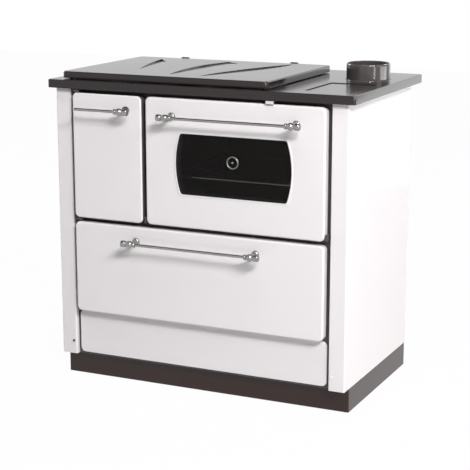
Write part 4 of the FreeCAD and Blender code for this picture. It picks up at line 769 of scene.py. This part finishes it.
# Flue collar: turned cast iron, blacked, with a flange bolted under the top. The neck comes up through the
# cut-out, and its rim is rounded to take the pipe. The sections give the radius with the height over the
# flange's underside, or over the rim.
FLANGE_SECTION = ((0.072, 0.0), (0.072, 0.005), (0.063, 0.005), (0.063, 0.0076), (0.0606, 0.0082),
                  (0.060, 0.0092))
RIM_SECTION = ((0.060, -0.0055), (0.0596, -0.0028), (0.0584, -0.0008), (0.0568, 0.0), (0.0556, -0.0008),
               (0.055, -0.003))
FLUE_BORE_RADIUS = 0.055
low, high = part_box("flue_collar")
profile = [(r, low.z + up) for r, up in FLANGE_SECTION] + [(r, high.z + up) for r, up in RIM_SECTION]
profile.append((FLUE_BORE_RADIUS, low.z))
points = [(FLUE_X + r, FLUE_Y, z) for r, z in profile]
shape = bmesh.new()
turn_profile(shape, points + points[:1], (FLUE_X, FLUE_Y, 0), (0, 0, 1), 96)
blacked_iron = flow_finish(
    "blacked_iron", dark=(0.048, 0.040, 0.041), light=(0.062, 0.053, 0.053), edge=(0.05, 0.05, 0.05),
    edge_share=0.0, smooth=0.10, rough=0.15, ripple=12.0, peel=400.0, bump_mm=0.1)
collar = put_up("flue_collar_casting", shape, blacked_iron, "stove_body", "cast_iron", "flue_collar")
even_shading(collar)

# Cover lid: a shallow tray of pressed sheet in the dark enamel, its hem just clear of the top. Three long
# rays are pressed into it: each starts at a tip near the front, is stepped down along its left edge and
# rises to the lid at its right.
LID_SHEET = 0.0015
LID_LIFT = 0.0028
LID_CORNER = 0.014
LID_ROLL = 0.004

# Each ray has its tip, the bow and the end of its left edge, the end of its right edge, its depth, and the
# share of a half wave that its depth follows. The step's section is in shares of its width and depth.
RAYS = (
    ((-0.248, -0.095), (-0.300, 0.0485), (-0.320, 0.178), (-0.263, 0.100), 0.0042, 0.5),
    ((-0.110, -0.182), (-0.163, 0.038), (-0.107, 0.186), (-0.055, 0.150), 0.0046, 0.85),
    ((-0.018, -0.190), (-0.021, -0.021), (0.092, 0.200), (0.132, 0.160), 0.0046, 1.0),
)
STEP_SECTION = ((0.0, 0.0), (0.35, 0.03), (0.75, 0.14), (0.9, 0.3), (0.9, 0.8), (1.1, 0.94), (1.7, 1.0))
STEP_WIDTH = 0.001
STEP_SHARE_LIMIT = 0.25
SINK = 0.55
FLOOR_ROWS = 4
RAY_COLUMNS = 28


def press_ray(shape, tip, bow, deep, shallow, depth, turn, z):
    tip, bow, deep, shallow = (Vector((x, y, z)) for x, y in (tip, bow, deep, shallow))
    rows = len(STEP_SECTION) - 1 + FLOOR_ROWS
    grid = bmesh.ops.create_grid(shape, x_segments=RAY_COLUMNS + 1, y_segments=rows, size=0.5)
    patch = grid["verts"]
    for v in patch:
        column = round((v.co.x + 0.5) * (RAY_COLUMNS + 1))
        row = round((v.co.y + 0.5) * rows)
        s = min(column / RAY_COLUMNS, 1.0)
        left = tip.lerp(bow, s).lerp(bow.lerp(deep, s), s)
        right = tip.lerp(shallow, s)
        width = max((right - left).length, WELD)
        drop = depth * math.sin(math.pi * turn * s) ** SINK
        step = min(STEP_WIDTH / width, STEP_SHARE_LIMIT)
        if row < len(STEP_SECTION):
            offset, share = STEP_SECTION[row]
            t = offset * step
        else:
            start = STEP_SECTION[-1][0] * step
            part = (row - len(STEP_SECTION) + 1) / FLOOR_ROWS
            t = start + (1 - start) * part
            share = 1 - part
        v.co = left.lerp(right, t)
        if column <= RAY_COLUMNS:
            v.co.z -= drop * share
    bmesh.ops.remove_doubles(shape, verts=patch, dist=WELD)


low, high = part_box("lid_panel")
shape = bmesh.new()
block(shape, (low.x, low.y, low.z + LID_LIFT), high)
round_edges(shape, [e for e in shape.edges if along(e, 2)], LID_CORNER, 8)
round_edges(shape, [e for e in shape.edges if at(e, 2, high.z)], LID_ROLL, 5)
bmesh.ops.delete(shape, geom=[f for f in shape.faces if abs(f.normal.z) > LEVEL], context="FACES_ONLY")
for ray in RAYS:
    press_ray(shape, *ray, high.z)
outline = [e for e in shape.edges if e.is_boundary and at(e, 2, high.z)]
flat_fill(shape, outline, 0, 1)
bmesh.ops.recalc_face_normals(shape, faces=shape.faces)
lid = put_up("lid_pressing", shape, dark_enamel, "cover_lid", "dark_enamel", "lid_panel")
sheet_wall(lid, LID_SHEET)
lid.modifiers["sheet"].use_even_offset = False

# Lid feet: two turned steel studs in black paint, welded under the lid's front corners.
# They keep its hem clear of the top. The profile gives the radius and the height in mm.
FOOT_PROFILE = ((0.0, 0.0), (3.8, 0.0), (4.8, 0.6), (5.0, 1.6), (5.0, 17.0), (7.0, 19.6), (0.0, 19.6))
FOOT_INSET = 0.02
shape = bmesh.new()
for foot_x in (low.x + FOOT_INSET, high.x - FOOT_INSET):
    foot_y = low.y + FOOT_INSET
    points = [(foot_x + r * MM, foot_y, low.z + up * MM) for r, up in FOOT_PROFILE]
    turn_profile(shape, points, (foot_x, foot_y, 0), (0, 0, 1), 24)
put_up("lid_feet", shape, black_paint, "cover_lid", "dark_steel")

# Lid hinges: folded brackets on the top frame, and rolled barrels with a leaf on the back of the lid,
# with a pin through both. All of them have the dark enamel.
BARREL_RADIUS = 0.0112
BARREL_ROUND = 0.002
BARREL_LENGTH = 0.024
PIN_Y, PIN_Z = 0.241, 0.862
LEAF_HALF = 0.0015
coat("lid_hinge_brackets", dark_enamel)
low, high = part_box("lid_hinge_leaves")
lid_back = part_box("lid_panel")[1].y
shape = bmesh.new()
for x0 in (low.x, high.x - BARREL_LENGTH):
    x1 = x0 + BARREL_LENGTH
    inner = BARREL_RADIUS - BARREL_ROUND
    points = [(x, PIN_Y, PIN_Z + r) for x, r in ((x0, 0.0), (x0, inner), (x0 + BARREL_ROUND, BARREL_RADIUS),
                                                 (x1 - BARREL_ROUND, BARREL_RADIUS), (x1, inner), (x1, 0.0))]
    turn_profile(shape, points, (0, PIN_Y, PIN_Z), (1, 0, 0), 40)
    block(shape, (x0, lid_back, PIN_Z - LEAF_HALF), (x1, PIN_Y, PIN_Z + LEAF_HALF))
put_up("lid_hinge_barrels", shape, dark_enamel, "cover_lid", "dark_steel", "lid_hinge_leaves")
